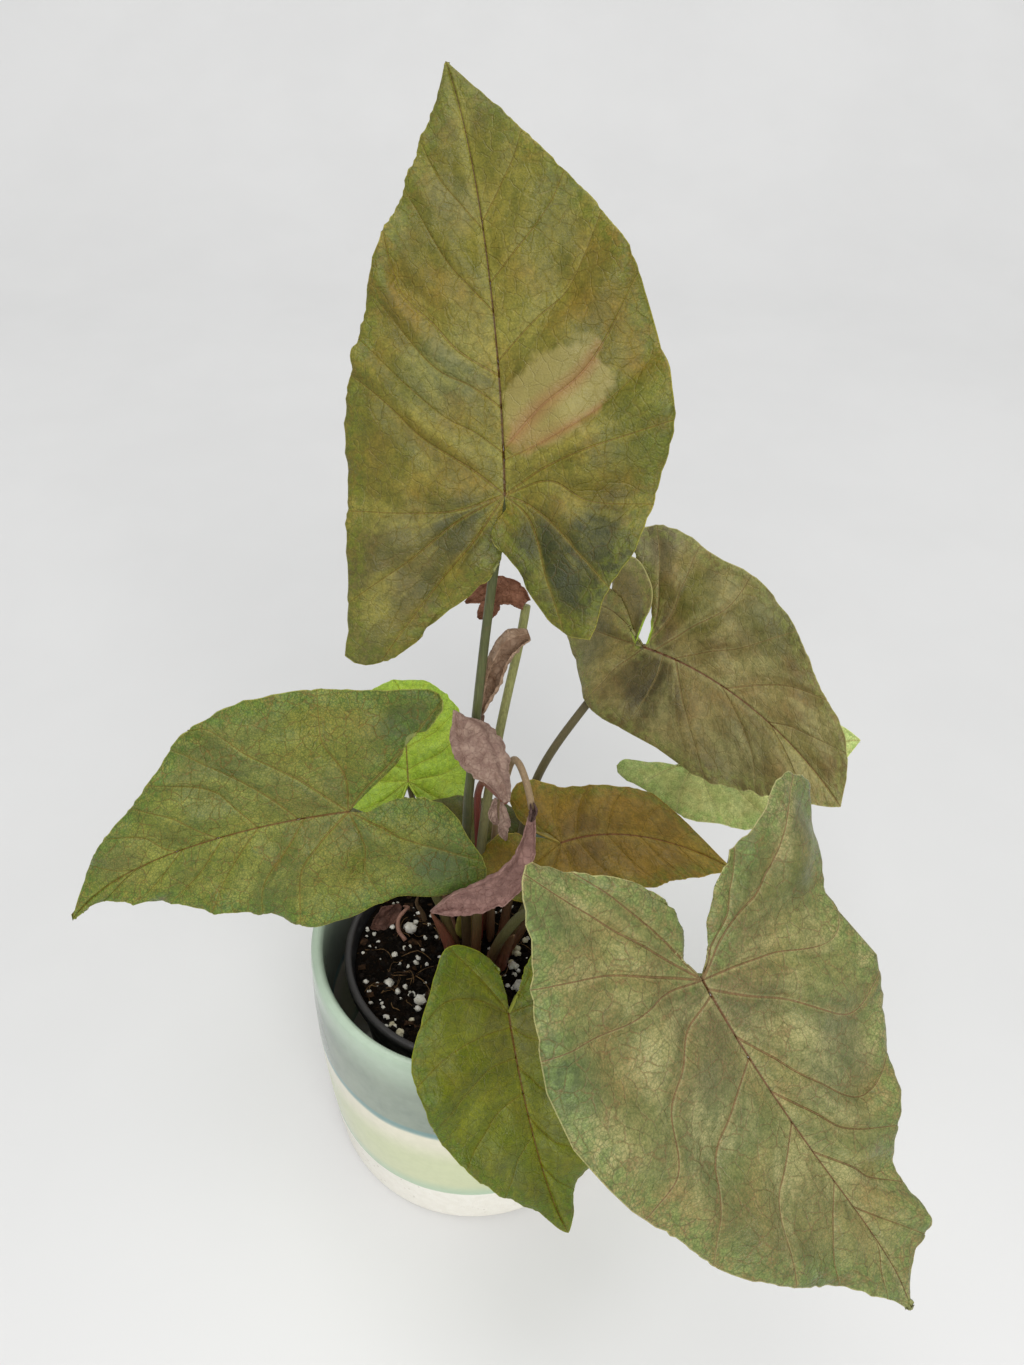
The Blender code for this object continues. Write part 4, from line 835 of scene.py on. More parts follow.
# Stalks
stalks = {
    "petiole_top": dict(path=[(-2, 3, 105), (-1, 5, 165), (3.5, 6, 224), (10, 8, 286)], radius=(2.0, 1.5)),
    "petiole_upper_right": dict(path=[(12.5, 6, 105), (19, 18, 145), (27, 30, 181), (45, 42, 208), (60, 50, 223)],
                                radius=(2.0, 1.6)),
    "petiole_behind": dict(path=[(15.5, 0.5, 105), (32, 14, 128), (64, 45, 143), (87, 57, 152)], radius=(1.9, 1.4)),
    "petiole_brown": dict(path=[(12, -4, 105), (20, -3, 135), (30, 0, 160)], radius=(1.9, 1.4)),
    "petiole_dark": dict(path=[(6, 13, 105), (6.5, 19, 123)], radius=(1.8, 1.3)),
    "petiole_left": dict(path=[(-5, -2, 105), (-14, -1, 150), (-30, -2, 187)], radius=(2.1, 1.6)),
    "petiole_lime": dict(path=[(-7, 7, 105), (-13, 27, 116), (-22, 47, 124), (-26, 60, 129)], radius=(1.8, 1.3)),
    "petiole_small": dict(path=[(1, -8, 105), (5, -26, 128), (12, -45, 145)], radius=(1.9, 1.4)),
    "petiole_front": dict(path=[(7, -7, 105), (14, -15, 140), (25, -29, 174), (45, -66, 212), (62, -98, 238)],
                          radius=(2.1, 1.7)),
    "stalk_upper": dict(path=[(2, -2, 105), (5.3, 5, 170), (12, 16, 216), (20, 27, 255), (22, 30, 267.4)],
                        radius=(2.1, 1.6)),
    "stalk_rolled": dict(path=[(-2, 8, 105), (-1, 12, 150), (0, 14, 185), (3.5, 14.5, 212), (6, 13, 231)],
                         radius=(1.9, 1.5)),
    "stalk_middle": dict(path=[(3, 8, 105), (4, 11, 150), (4, 12, 185), (4.8, 10, 196), (6.8, 5.5, 205),
                               (10.5, -2, 209), (14.8, -11.1, 212.9)], radius=(1.9, 1.3)),
    "stalk_hanging": dict(path=[(8, 8, 105), (9, 13, 140), (11, 16, 170), (14, 15, 192), (17, 9, 212),
                                (19.5, 4, 216.5), (22, -1, 213), (23.6, -5, 208), (24.2, -7.2, 204.6)],
                          radius=(1.8, 1.3)),
}
stalkForm = dict(depth=14.0, rise=3.0, sides=16, stepsPerPart=9)
stalkLooks = {
    "petiole_top": [(0.120, 0.062, 0.034), (0.076, 0.078, 0.028), (0.105, 0.118, 0.040)],
    "petiole_upper_right": [(0.160, 0.050, 0.030), (0.125, 0.105, 0.045), (0.140, 0.115, 0.055)],
    "stalk_upper": [(0.180, 0.060, 0.028), (0.170, 0.150, 0.062), (0.300, 0.310, 0.110)],
    "stalk_rolled": [(0.100, 0.030, 0.018), (0.110, 0.055, 0.034), (0.160, 0.085, 0.055)],
    "stalk_middle": [(0.250, 0.035, 0.030), (0.280, 0.045, 0.040), (0.250, 0.150, 0.090)],
    "stalk_hanging": [(0.150, 0.060, 0.030), (0.330, 0.230, 0.130), (0.400, 0.280, 0.160)],
}
plainStalk = [(0.130, 0.040, 0.022), (0.115, 0.110, 0.040), (0.150, 0.165, 0.060)]


def stalkSkin(name, colours):
    material, tree, shader = startMaterial("skin_" + name, 0.42)
    place = objectPlace(tree)
    height = addNode(tree, 'ShaderNodeSeparateXYZ', {0: place}).outputs[2]
    low = addNode(tree, 'ShaderNodeMapRange', {"Value": height, "From Min": 0.104, "From Max": 0.150},
                  interpolation_type='SMOOTHSTEP').outputs[0]
    high = addNode(tree, 'ShaderNodeMapRange', {"Value": height, "From Min": 0.150, "From Max": 0.250},
                   interpolation_type='SMOOTHSTEP').outputs[0]
    colour = mixColour(tree, low, colours[0], colours[1])
    colour = mixColour(tree, high, colour, colours[2])
    lengthwise = addNode(tree, 'ShaderNodeMapping', {"Vector": place, "Scale": (1, 1, 0.06)}).outputs[0]
    stripe = useGroup(tree, groups["mottle"], {"Coordinate": lengthwise, "Scale": 1900.0, "Detail": 2.0,
                                               "Low": 0.35, "High": 0.65})
    colour = mixColour(tree, mathNode(tree, 'MULTIPLY', stripe, 0.35), colour, tuple(0.45 * c for c in colours[1]))
    freckle = useGroup(tree, groups["mottle"], {"Coordinate": place, "Scale": 420.0, "Low": 0.56, "High": 0.66})
    colour = mixColour(tree, mathNode(tree, 'MULTIPLY', freckle, 0.25), colour, (0.16, 0.10, 0.05))
    tree.links.new(colour, shader.inputs["Base Color"])
    addBump(tree, shader, stripe, 0.0002, 0.5)
    return material


# A closed tube along a line of places with a radius at each, made from rings that are bridged
def addTube(shape, line, radii, sides):
    rings = []
    side = None
    for index, (place, radius) in enumerate(zip(line, radii)):
        ahead = Vector(line[min(index + 1, len(line) - 1)] - line[max(index - 1, 0)]).normalized()
        side = (side - ahead * side.dot(ahead)).normalized() if side else ahead.orthogonal().normalized()
        turn = Matrix((side, ahead.cross(side), ahead)).transposed().to_4x4()
        ring = bmesh.ops.create_circle(shape, segments=sides, radius=radius * mm,
                                       matrix=Matrix.Translation(Vector(place) * mm) @ turn)["verts"]
        rings.append([next(e for e in v.link_edges if e.other_vert(v) == w) for v, w in zip(ring, ring[1:] + ring[:1])])
    for low, high in zip(rings, rings[1:]):
        bmesh.ops.bridge_loops(shape, edges=low + high)
    for ring in (rings[0], rings[-1]):
        bmesh.ops.holes_fill(shape, edges=ring, sides=sides)


def stalkLine(path, end=None):
    start = np.array(path[0], float)
    knots = [start + (0, 0, stalkForm["rise"])] + list(path[1:]) + ([end] if end is not None else [])
    line = resample(smoothLine(knots, 12), stalkForm["stepsPerPart"] * (len(knots) - 1))
    return np.vstack([start - (0, 0, stalkForm["depth"]), line])


def petioleEnd(leaf, path):
    joint = np.array(leaf["joint"], float)
    face = bladeAxes(leaf)[2]
    arrive = unit(joint - np.array(path[-1]))
    tilt = np.linalg.norm(np.cross(arrive, face))
    return joint - face * (0.55 + 0.6 * 1.4 * tilt)


def buildStalk(name, stalk):
    leaf = leaves.get(name.removeprefix("petiole_")) if name.startswith("petiole_") else None
    line = stalkLine(stalk["path"], petioleEnd(leaf, stalk["path"]) if leaf else None)
    share = np.clip((np.arange(len(line)) - 1) / (len(line) - 2), 0, 1)
    base, top = stalk["radius"]
    radii = top + (base - top) * (1 - share) ** 1.5
    shape = bmesh.new()
    addTube(shape, line, radii, stalkForm["sides"])
    bmesh.ops.recalc_face_normals(shape, faces=shape.faces)
    finishPiece("skin_" + name, meshOf(name, shape), [name], [stalkSkin(name, stalkLooks.get(name, plainStalk))])
    return line


stalkLines = {name: buildStalk(name, stalk) for name, stalk in stalks.items()}

# Sheaths, dry stems and a tendril on the soil: line, radii along it, colours
sheaths = {
    "sheath_red": dict(line=[(1.5, 4, 104), (1.0, 7, 112), (0.5, 10, 121), (-1.5, 12, 129)], radii=(3.4, 2.8, 2.0, 0.5),
                       colours=[(0.330, 0.300, 0.090), (0.340, 0.070, 0.060), (0.380, 0.120, 0.100)]),
    "sheath_bud": dict(line=[(-5, 9, 104), (-5, 9, 110), (-4.9, 8.6, 116), (-4.8, 8, 122)], radii=(2.2, 1.9, 1.4, 0.4),
                       colours=[(0.420, 0.420, 0.080), (0.380, 0.200, 0.070), (0.380, 0.120, 0.080)]),
    "sheath_right": dict(line=[(12, -6, 104), (13, -7, 114), (15.5, -9, 126), (18, -13, 137)],
                         radii=(3.0, 2.7, 2.0, 0.5),
                         colours=[(0.220, 0.060, 0.040), (0.180, 0.110, 0.050), (0.190, 0.190, 0.070)]),
    "sheath_left": dict(line=[(-6, -4, 104), (-8, -4, 116), (-11, -4, 128), (-15, -4, 139)], radii=(3.0, 2.6, 1.9, 0.5),
                        colours=[(0.200, 0.050, 0.034), (0.220, 0.090, 0.050), (0.200, 0.180, 0.070)]),
    "dry_stem": dict(line=[(-20, 16, 104), (-21, 16, 112), (-23, 15, 120), (-22, 14, 127)], radii=(1.3, 1.0, 0.8, 0.4),
                     colours=[(0.120, 0.075, 0.040), (0.150, 0.095, 0.050), (0.120, 0.070, 0.040)]),
    "tendril": dict(line=[(-28, 6, 107), (-31, 9, 110), (-31, 13, 112.5), (-28.5, 17, 113), (-27.5, 20, 111),
                          (-30, 23, 108)],
                    radii=(0.9, 0.9, 0.8, 0.8, 0.7, 0.4),
                    colours=[(0.300, 0.150, 0.110), (0.360, 0.200, 0.140), (0.300, 0.150, 0.100)]),
}


def buildSheath(name, form):
    line = resample(smoothLine(form["line"], 8), 30)
    radii = np.interp(np.linspace(0, 1, 31), np.linspace(0, 1, len(form["radii"])), form["radii"])
    radii = radii * (1 + 0.06 * ripples(np.arange(31.0), 0 * radii, 7.0, 31))
    shape = bmesh.new()
    addTube(shape, line, radii, 18)
    finishPiece(name, meshOf(name, shape), (), [stalkSkin(name, form["colours"])])


for name, form in sheaths.items():
    buildSheath(name, form)
print("stalks done")


# Withered leaves
withered = {
    "upper": dict(line=[(22, 30, 268.5), (17, 31, 273.5), (9, 31, 273.5), (1, 30, 269)], width=6.0, curl=170, roll=-20,
                  profile=[0.5, 0.9, 1.1, 1.05, 0.85, 0.55, 0.08],
                  colours=[(0.345, 0.160, 0.095), (0.185, 0.075, 0.040)]),
    "rolled": dict(line=[(6.3, 13.2, 232), (8.6, 14, 243), (11.4, 14, 255), (16.0, 15, 264), (22.8, 16, 266.5)],
                   width=9.0, curl=290, roll=0, profile=[0.12, 0.35, 0.6, 0.8, 0.92, 1.0, 1.08, 1.05, 0.55],
                   colours=[(0.460, 0.315, 0.215), (0.270, 0.165, 0.100)]),
    "middle": dict(line=[(15, -12, 213.5), (12.5, -10, 220.5), (9, -7.5, 226), (4, -4, 231.5), (0.5, 0.5, 235),
                         (-3.0, 6.5, 240)],
                   width=10.0, curl=120, roll=20, profile=[0.12, 0.3, 0.6, 0.85, 1.0, 1.12, 0.95, 0.45, 0.03],
                   colours=[(0.395, 0.275, 0.215), (0.245, 0.150, 0.118)]),
    "hanging": dict(line=[(24.2, -7.5, 203.2), (23.2, -13.5, 197), (20.4, -19.5, 191.5), (15.2, -24.5, 187),
                          (7.2, -27.5, 184), (-2, -29, 180.5), (-12, -30, 175)],
                    width=8.0, curl=170, roll=10, profile=[0.14, 0.42, 0.72, 0.95, 1.08, 1.12, 1.02, 0.72, 0.08],
                    colours=[(0.400, 0.235, 0.200), (0.230, 0.125, 0.105)]),
    "on_soil": dict(line=[(-31, 22, 110), (-37, 17, 109), (-43, 11, 108.5)], width=5.0, curl=100, roll=0,
                    colours=[(0.150, 0.070, 0.050), (0.075, 0.034, 0.024)]),
}
witheredForm = dict(steps=70, across=30, thickness=0.35, crinkle=0.16, folds=0.50)


def witheredSkin(name, colours):
    material, tree, shader = startMaterial("withered_skin_" + name, 0.62)
    place = objectPlace(tree)
    mottle = useGroup(tree, groups["mottle"], {"Coordinate": place, "Scale": 190.0, "Detail": 4.0, "Low": 0.35,
                                               "High": 0.65})
    colour = mixColour(tree, mottle, *colours)
    net = useGroup(tree, groups["net"], {"Coordinate": place, "Scale": 420.0, "Line": 0.14, "Warp": 0.0016})
    colour = mixColour(tree, mathNode(tree, 'MULTIPLY', net, 0.45), colour, colours[1])
    bloom = useGroup(tree, groups["mottle"], {"Coordinate": place, "Scale": 130.0, "Low": 0.55, "High": 0.72})
    colour = mixColour(tree, mathNode(tree, 'MULTIPLY', bloom, 0.4), colour, tuple(1.5 * c + 0.03 for c in colours[0]))
    specks = useGroup(tree, groups["specks"], {"Coordinate": place, "Scale": 450.0, "Size": 0.22, "Share": 0.2})
    colour = mixColour(tree, mathNode(tree, 'MULTIPLY', specks, 0.5), colour, (0.03, 0.02, 0.015))
    tree.links.new(colour, shader.inputs["Base Color"])
    grain = useGroup(tree, groups["mottle"], {"Coordinate": place, "Scale": 900.0, "Low": 0.3, "High": 0.7})
    addBump(tree, shader, mathNode(tree, 'ADD', grain, net), 0.0003, 0.7)
    return material


def buildWithered(name, leaf, seed):
    steps, across = witheredForm["steps"], witheredForm["across"]
    line = resample(smoothLine(leaf["line"], 14), steps)
    ahead = np.gradient(line, axis=0)
    ahead = ahead / np.linalg.norm(ahead, axis=1)[:, None]
    side = np.cross(ahead, (0.1, -0.9, 0.4))
    side = side / np.linalg.norm(side, axis=1)[:, None]
    up = np.cross(side, ahead)
    share = np.linspace(0, 1, steps + 1)[:, None]
    spread = np.linspace(-0.5, 0.5, across + 1)[None, :]
    curl, roll = math.radians(leaf["curl"]), math.radians(leaf["roll"])
    ragged = 1 + 0.05 * ripples(share * 40, 0 * share, 5.0, seed) + 0.03 * ripples(share * 40, 0 * share, 1.6, seed + 1)
    plain = [0.16, 0.62, 0.86, 0.97, 1.0, 0.97, 0.86, 0.62, 0.16]
    profile = leaf.get("profile", plain)
    width = leaf["width"] * np.interp(share, np.linspace(0, 1, len(profile)), profile) * ragged
    radius = 2 * width / curl
    wrinkle = 0.07 * radius * np.sin(9 * share + 7 * spread) + 0.04 * radius * np.sin(17 * share)
    crinkle = witheredForm["crinkle"] * (ripples(share * 40, spread * 18, 7.0, seed + 2)
                                         + 0.4 * ripples(share * 40, spread * 18, 2.6, seed + 3))
    folds = witheredForm["folds"] * np.sin(2 * math.pi * (2.6 * spread + 0.35 * np.sin(5 * share + seed)) + seed)
    wrinkle = wrinkle + folds * np.minimum(1, leaf["width"] / 9) * np.sin(math.pi * share) ** 0.5
    turn = spread * curl + roll
    away = radius + wrinkle + crinkle * np.minimum(1, 6 * share) * np.minimum(1, leaf["width"] / 8)
    offset = side[:, None, :] * np.sin(turn)[..., None] - up[:, None, :] * np.cos(turn)[..., None]
    places = (line[:, None, :] + up[:, None, :] * (radius * math.cos(roll))[..., None] + offset * away[..., None]) * mm
    shape = bmesh.new()
    for vertex in bmesh.ops.create_grid(shape, x_segments=steps, y_segments=across, size=0.5)["verts"]:
        vertex.co = places[round((vertex.co.x + 0.5) * steps), round((vertex.co.y + 0.5) * across)]
    piece = finishPiece("dry_" + name, meshOf("dry_" + name, shape),
                        ["withered_" + name] if name in withered else [], [witheredSkin(name, leaf["colours"])])
    thick = piece.modifiers.new("thickness", 'SOLIDIFY')
    thick.thickness = witheredForm["thickness"] * mm
    thick.offset = 0


# Torn shreds: line, width, colours of the leaf that they hang from
shreds = {
    "shred_long": dict(line=[(13.5, -11.5, 213), (14.5, -13.5, 207), (14.0, -14.0, 201), (15, -14.5, 196)], width=2.4,
                       curl=150, roll=0, owner="middle"),
    "shred_short": dict(line=[(11.5, -10.5, 214), (11.0, -12.5, 208), (12.5, -13.0, 203)], width=2.0, curl=120, roll=30,
                        owner="middle"),
    "shred_upper": dict(line=[(12, 30, 272), (9, 27, 268.5), (5.5, 25.5, 265.5)], width=3.6, curl=110, roll=0,
                        owner="upper"),
    "knot": dict(line=[(24.2, -5.8, 206.5), (24.6, -8.2, 205), (23.8, -10.5, 201.5)], width=3.2, curl=300, roll=0,
                 owner="hanging"),
}
for number, (name, leaf) in enumerate(withered.items()):
    buildWithered(name, leaf, 900 + 37 * number)
for number, (name, shred) in enumerate(shreds.items()):
    tone = 0.35 if name == "knot" else 0.9
    shred["colours"] = [tuple(tone * c for c in colour) for colour in withered[shred["owner"]]["colours"]]
    buildWithered(name, shred, 1300 + 37 * number)
print("withered leaves done")


# Pots
coverPot = dict(
    steps=144, floor=8.0, height=123.0,
    outer=[(64.6, 122.2), (65.2, 119.0), (65.6, 112.0), (66.6, 95.0), (67.2, 72.0), (67.0, 45.0), (66.0, 20.0),
           (65.0, 5.0), (64.0, 1.2), (62.5, 0.0)],
    inner=[(0.0, 8.0), (52.0, 8.0), (57.5, 11.0), (60.6, 30.0), (61.2, 70.0), (60.8, 105.0), (60.2, 118.0),
           (60.8, 121.6), (62.2, 123.0), (63.6, 122.9)],
    wobble=0.12, blueLine=0.0762, clayLine=0.0277,
    upper=(0.292, 0.340, 0.278), upperDark=(0.178, 0.220, 0.188), rim=(0.445, 0.550, 0.435),
    cream=(0.745, 0.715, 0.575), lower=(0.585, 0.625, 0.395), lowerEdge=(0.430, 0.560, 0.400),
    blue=(0.150, 0.300, 0.310), clay=(0.830, 0.810, 0.740), speck=(0.300, 0.250, 0.190))
nurseryPot = dict(steps=128, foot=8.3, rim=112.4, topRadius=50.6, footRadius=40.0, wall=1.2, lip=1.8, lipDepth=5.0,
                  holes=6, holeRadius=4.0, holeRing=0.62, holeTurn=0.27)


def spinProfile(shape, profile, steps):
    points = [shape.verts.new(Vector((radius, 0, height)) * mm) for radius, height in profile]
    edges = [shape.edges.new(pair) for pair in zip(points, points[1:])]
    bmesh.ops.spin(shape, geom=points + edges, cent=(0, 0, 0), axis=(0, 0, 1), angle=2 * math.pi, steps=steps,
                   use_merge=True)
    bmesh.ops.remove_doubles(shape, verts=shape.verts, dist=1e-6)
    bmesh.ops.dissolve_degenerate(shape, dist=1e-7, edges=shape.edges)
    bmesh.ops.recalc_face_normals(shape, faces=shape.faces)


def glaze():
    material, tree, shader = startMaterial("celadon_glaze", 0.16)
    place = objectPlace(tree)
    split = addNode(tree, 'ShaderNodeSeparateXYZ', {0: place}).outputs
    waver = addNode(tree, 'ShaderNodeTexNoise', {"Vector": place, "Scale": 28.0, "Detail": 3.0}).outputs[0]
    shifted = mathNode(tree, 'ADD', split[2], mathNode(tree, 'MULTIPLY', mathNode(tree, 'SUBTRACT', waver, 0.5), 0.0035))

    def band(low, high, value=shifted):
        return addNode(tree, 'ShaderNodeMapRange', {"Value": value, "From Min": low, "From Max": high},
                       interpolation_type='SMOOTHSTEP').outputs[0]

    cloud = useGroup(tree, groups["mottle"], {"Coordinate": place, "Scale": 24.0, "Detail": 5.0, "Low": 0.35,
                                              "High": 0.7})
    fine = useGroup(tree, groups["mottle"], {"Coordinate": place, "Scale": 260.0, "Detail": 3.0, "Low": 0.3,
                                             "High": 0.7})
    look = coverPot
    blueLine, clayLine = look["blueLine"], look["clayLine"]
    lower = mixColour(tree, band(clayLine, clayLine + 0.010), look["lowerEdge"], look["lower"])
    lower = mixColour(tree, band(blueLine - 0.022, blueLine - 0.004), lower, look["cream"])
    upper = mixColour(tree, cloud, look["upper"], look["upperDark"])
    upper = mixColour(tree, band(0.100, 0.1215), upper, look["rim"])
    colour = mixColour(tree, band(blueLine - 0.0012, blueLine + 0.0012), lower, upper)
    nearBlue = useGroup(tree, groups["line"], {
        "Distance": mathNode(tree, 'ABSOLUTE', mathNode(tree, 'SUBTRACT', shifted, blueLine + 0.0008)),
        "Width": 0.0030, "Strength": 0.7})
    colour = mixColour(tree, nearBlue, colour, look["blue"])
    colour = mixColour(tree, mathNode(tree, 'MULTIPLY', fine, 0.22), colour, (0.75, 0.78, 0.72), 'MULTIPLY')
    wavyClay = mathNode(tree, 'ADD', split[2], mathNode(tree, 'MULTIPLY', mathNode(tree, 'SUBTRACT', waver, 0.5), 0.0016))
    bare = band(clayLine + 0.0004, clayLine - 0.0004, wavyClay)
    specks = useGroup(tree, groups["specks"], {"Coordinate": place, "Scale": 430.0, "Size": 0.30, "Share": 0.42})
    cluster = useGroup(tree, groups["mottle"], {"Coordinate": place, "Scale": 75.0, "Low": 0.46, "High": 0.6})
    spotted = mathNode(tree, 'MULTIPLY', mathNode(tree, 'MULTIPLY', specks, cluster), 0.85)
    clay = mixColour(tree, spotted, look["clay"], look["speck"])
    clay = mixColour(tree, mathNode(tree, 'MULTIPLY', fine, 0.25), clay, (0.80, 0.77, 0.72), 'MULTIPLY')
    colour = mixColour(tree, bare, colour, clay)
    tree.links.new(colour, shader.inputs["Base Color"])
    dull = addNode(tree, 'ShaderNodeMapRange', {"Value": bare, "To Min": 0.17, "To Max": 0.8})
    tree.links.new(dull.outputs[0], shader.inputs["Roughness"])
    sand = addNode(tree, 'ShaderNodeTexNoise', {"Vector": place, "Scale": 1400.0, "Detail": 2.0}).outputs[0]
    rough = mathNode(tree, 'MULTIPLY', sand, bare)
    addBump(tree, shader, mathNode(tree, 'ADD', rough, mathNode(tree, 'MULTIPLY', cloud, 0.4)), 0.0004, 0.6)
    return material


def buildCoverPot():
    form = coverPot
    inner = smoothLine(form["inner"][1:], 6)
    outer = smoothLine(form["outer"], 6)
    profile = [form["inner"][0]] + [tuple(p) for p in inner] + [tuple(p) for p in outer] + [(0.0, 0.0)]
    shape = bmesh.new()
    spinProfile(shape, profile, form["steps"])
    for vertex in shape.verts:
        angle = math.atan2(vertex.co.y, vertex.co.x)
        rings = math.sin(vertex.co.z / mm * 0.55) * 0.35 + math.sin(angle * 3 + vertex.co.z * 40) * 0.6
        if vertex.co.z > 3 * mm and vertex.co.xy.length > 55 * mm:
            vertex.co.xy *= 1 + form["wobble"] * rings * mm / vertex.co.xy.length
    finishPiece("glazed_cover_pot", meshOf("glazed_cover_pot", shape), ["cover_pot"], [glaze()])


def blackPlastic():
    material, tree, shader = startMaterial("black_plastic", 0.42)
    place = objectPlace(tree)
    height = addNode(tree, 'ShaderNodeSeparateXYZ', {0: place}).outputs[2]
    dust = useGroup(tree, groups["mottle"], {"Coordinate": place, "Scale": 160.0, "Detail": 5.0, "Low": 0.42,
                                             "High": 0.68})
    # The top of the lip is painted lighter grey: a painted highlight
    lipHighlight = addNode(tree, 'ShaderNodeMapRange', {"Value": height, "From Min": 0.1105, "From Max": 0.1122})
    scuff = mathNode(tree, 'MULTIPLY', dust, 0.35)
    colour = mixColour(tree, scuff, (0.013, 0.013, 0.014), (0.055, 0.050, 0.045))
    colour = mixColour(tree, mathNode(tree, 'MULTIPLY', lipHighlight.outputs[0], 0.6), colour, (0.050, 0.046, 0.044))
    tree.links.new(colour, shader.inputs["Base Color"])
    dull = addNode(tree, 'ShaderNodeMapRange', {"Value": dust, "To Min": 0.34, "To Max": 0.6})
    tree.links.new(dull.outputs[0], shader.inputs["Roughness"])
    addBump(tree, shader, dust, 0.0002, 0.5)
    return material


def nurseryRadius(height):
    form = nurseryPot
    share = (height - form["foot"]) / (form["rim"] - form["foot"])
    return form["footRadius"] + (form["topRadius"] - form["footRadius"]) * share


def buildNurseryPot():
    form = nurseryPot
    floor, rim, top = form["foot"] + form["wall"], form["rim"], form["topRadius"]
    lipFoot, lipRadius = rim - form["lipDepth"], top + form["lip"]
    inner = [(0.0, floor), (nurseryRadius(floor) - form["wall"] - 1, floor), (nurseryRadius(floor) - form["wall"], floor + 1),
             (top - form["wall"], rim - 0.8), (top - 0.9, rim - 0.25)]
    outer = [(top - 0.2, rim), (top + 0.9, rim - 0.05), (lipRadius, rim - 0.7), (lipRadius, rim - 2), (lipRadius, lipFoot),
             (nurseryRadius(lipFoot), lipFoot - 0.5), (form["footRadius"], form["foot"] + 1.0),
             (form["footRadius"] - 1.0, form["foot"]), (0.0, form["foot"])]
    shape = bmesh.new()
    spinProfile(shape, inner + outer, form["steps"])
    piece = finishPiece("plastic_pot", meshOf("plastic_pot", shape), ["nursery_pot"], [blackPlastic()])
    drill = bmesh.new()
    for hole in range(form["holes"]):
        angle = 2 * math.pi * (hole + form["holeTurn"]) / form["holes"]
        place = Vector((math.cos(angle), math.sin(angle), 0)) * form["footRadius"] * form["holeRing"] * mm
        place.z = (form["foot"] + form["wall"] / 2) * mm
        bmesh.ops.create_cone(drill, cap_ends=True, segments=32, radius1=form["holeRadius"] * mm,
                              radius2=form["holeRadius"] * mm, depth=6 * mm, matrix=Matrix.Translation(place))
    cutter = bpy.data.objects.new("drill", meshOf("drill", drill))
    bpy.context.scene.collection.objects.link(cutter)
    holes = piece.modifiers.new("holes", 'BOOLEAN')
    holes.operation = 'DIFFERENCE'
    holes.object = cutter
    bpy.context.view_layer.update()
    cutMesh = bpy.data.meshes.new_from_object(piece.evaluated_get(bpy.context.evaluated_depsgraph_get()))
    piece.modifiers.clear()
    piece.data = cutMesh
    bpy.data.objects.remove(cutter, do_unlink=True)


buildCoverPot()
buildNurseryPot()
print("pots done")


# Soil
soilForm = dict(level=105.0, rings=88, spokes=190, relief=0.9, lump=1.1, mound=1.2, perlite=210, largePerlite=10,
                bark=90, crumbs=800, fibres=90, clear=3.0,
                lumps=[(-27, -37, 3.0), (-23, -31.5, 2.4), (-30, -33, 2.0), (19, 0.5, 3.2), (14.5, 9, 2.6),
                       (22, 6, 2.2), (16, -5, 2.0)])


def soilHeight(x, y):
    radius = np.hypot(x, y)
    mound = soilForm["mound"] * np.cos(np.minimum(radius / 51, 1) * math.pi / 2)
    relief = soilForm["relief"] * ripples(x, y, 9.0, 5) + 0.45 * ripples(x, y, 3.5, 6) + 0.25 * ripples(x, y, 1.6, 7)
    lumps = soilForm["lump"] * smoothStep(0.5, 1.6, ripples(x, y, 6.0, 8))
    return soilForm["level"] + mound + relief + lumps


def earth():
    material, tree, shader = startMaterial("potting_earth", 0.95, 0.08)
    place = objectPlace(tree)
    crumb = useGroup(tree, groups["mottle"], {"Coordinate": place, "Scale": 240.0, "Detail": 6.0, "Low": 0.42, "High": 0.7})
    fibre = useGroup(tree, groups["mottle"], {"Coordinate": place, "Scale": 620.0, "Detail": 4.0, "Low": 0.58, "High": 0.7})
    colour = mixColour(tree, crumb, (0.004, 0.003, 0.002), (0.015, 0.008, 0.004))
    colour = mixColour(tree, mathNode(tree, 'MULTIPLY', fibre, 0.5), colour, (0.080, 0.045, 0.020))
    tree.links.new(colour, shader.inputs["Base Color"])
    addBump(tree, shader, mathNode(tree, 'ADD', crumb, fibre), 0.0012, 0.9)
    return material


def crumbSkin(name, colours, scale=500.0, roughness=0.9):
    material, tree, shader = startMaterial(name, roughness, 0.12)
    place = objectPlace(tree)
    mottle = useGroup(tree, groups["mottle"], {"Coordinate": place, "Scale": scale, "Detail": 4.0, "Low": 0.35, "High": 0.65})
    colour = mixColour(tree, mottle, *colours)
    stain = useGroup(tree, groups["mottle"], {"Coordinate": place, "Scale": 70.0, "Low": 0.4, "High": 0.7})
    colour = mixColour(tree, mathNode(tree, 'MULTIPLY', stain, 0.35), colour, tuple(0.5 * c for c in colours[1]))
    tree.links.new(colour, shader.inputs["Base Color"])
    addBump(tree, shader, mottle, 0.0003, 0.7)
    return material


def buildSoil():
    rim = nurseryRadius(soilForm["level"]) - nurseryPot["wall"] - 0.3
    foot = nurseryPot["foot"] + nurseryPot["wall"] + 0.3
    top = [(rim * ring / soilForm["rings"], soilForm["level"]) for ring in range(soilForm["rings"] + 1)]
    side = [(rim, soilForm["level"] - 4), (nurseryRadius(foot) - nurseryPot["wall"] - 1.3, foot), (0.0, foot)]
    shape = bmesh.new()
    spinProfile(shape, top + side, soilForm["spokes"])
    for vertex in shape.verts:
        reach = vertex.co.xy.length / mm
        if vertex.co.z > (soilForm["level"] - 1) * mm and reach < rim - 0.2:
            height = float(soilHeight(vertex.co.x / mm, vertex.co.y / mm))
            share = min(1, (rim - reach) / 2)
            vertex.co.z = (soilForm["level"] + (height - soilForm["level"]) * share) * mm
    finishPiece("potting_mix", meshOf("potting_mix", shape), ["soil"], [earth()])


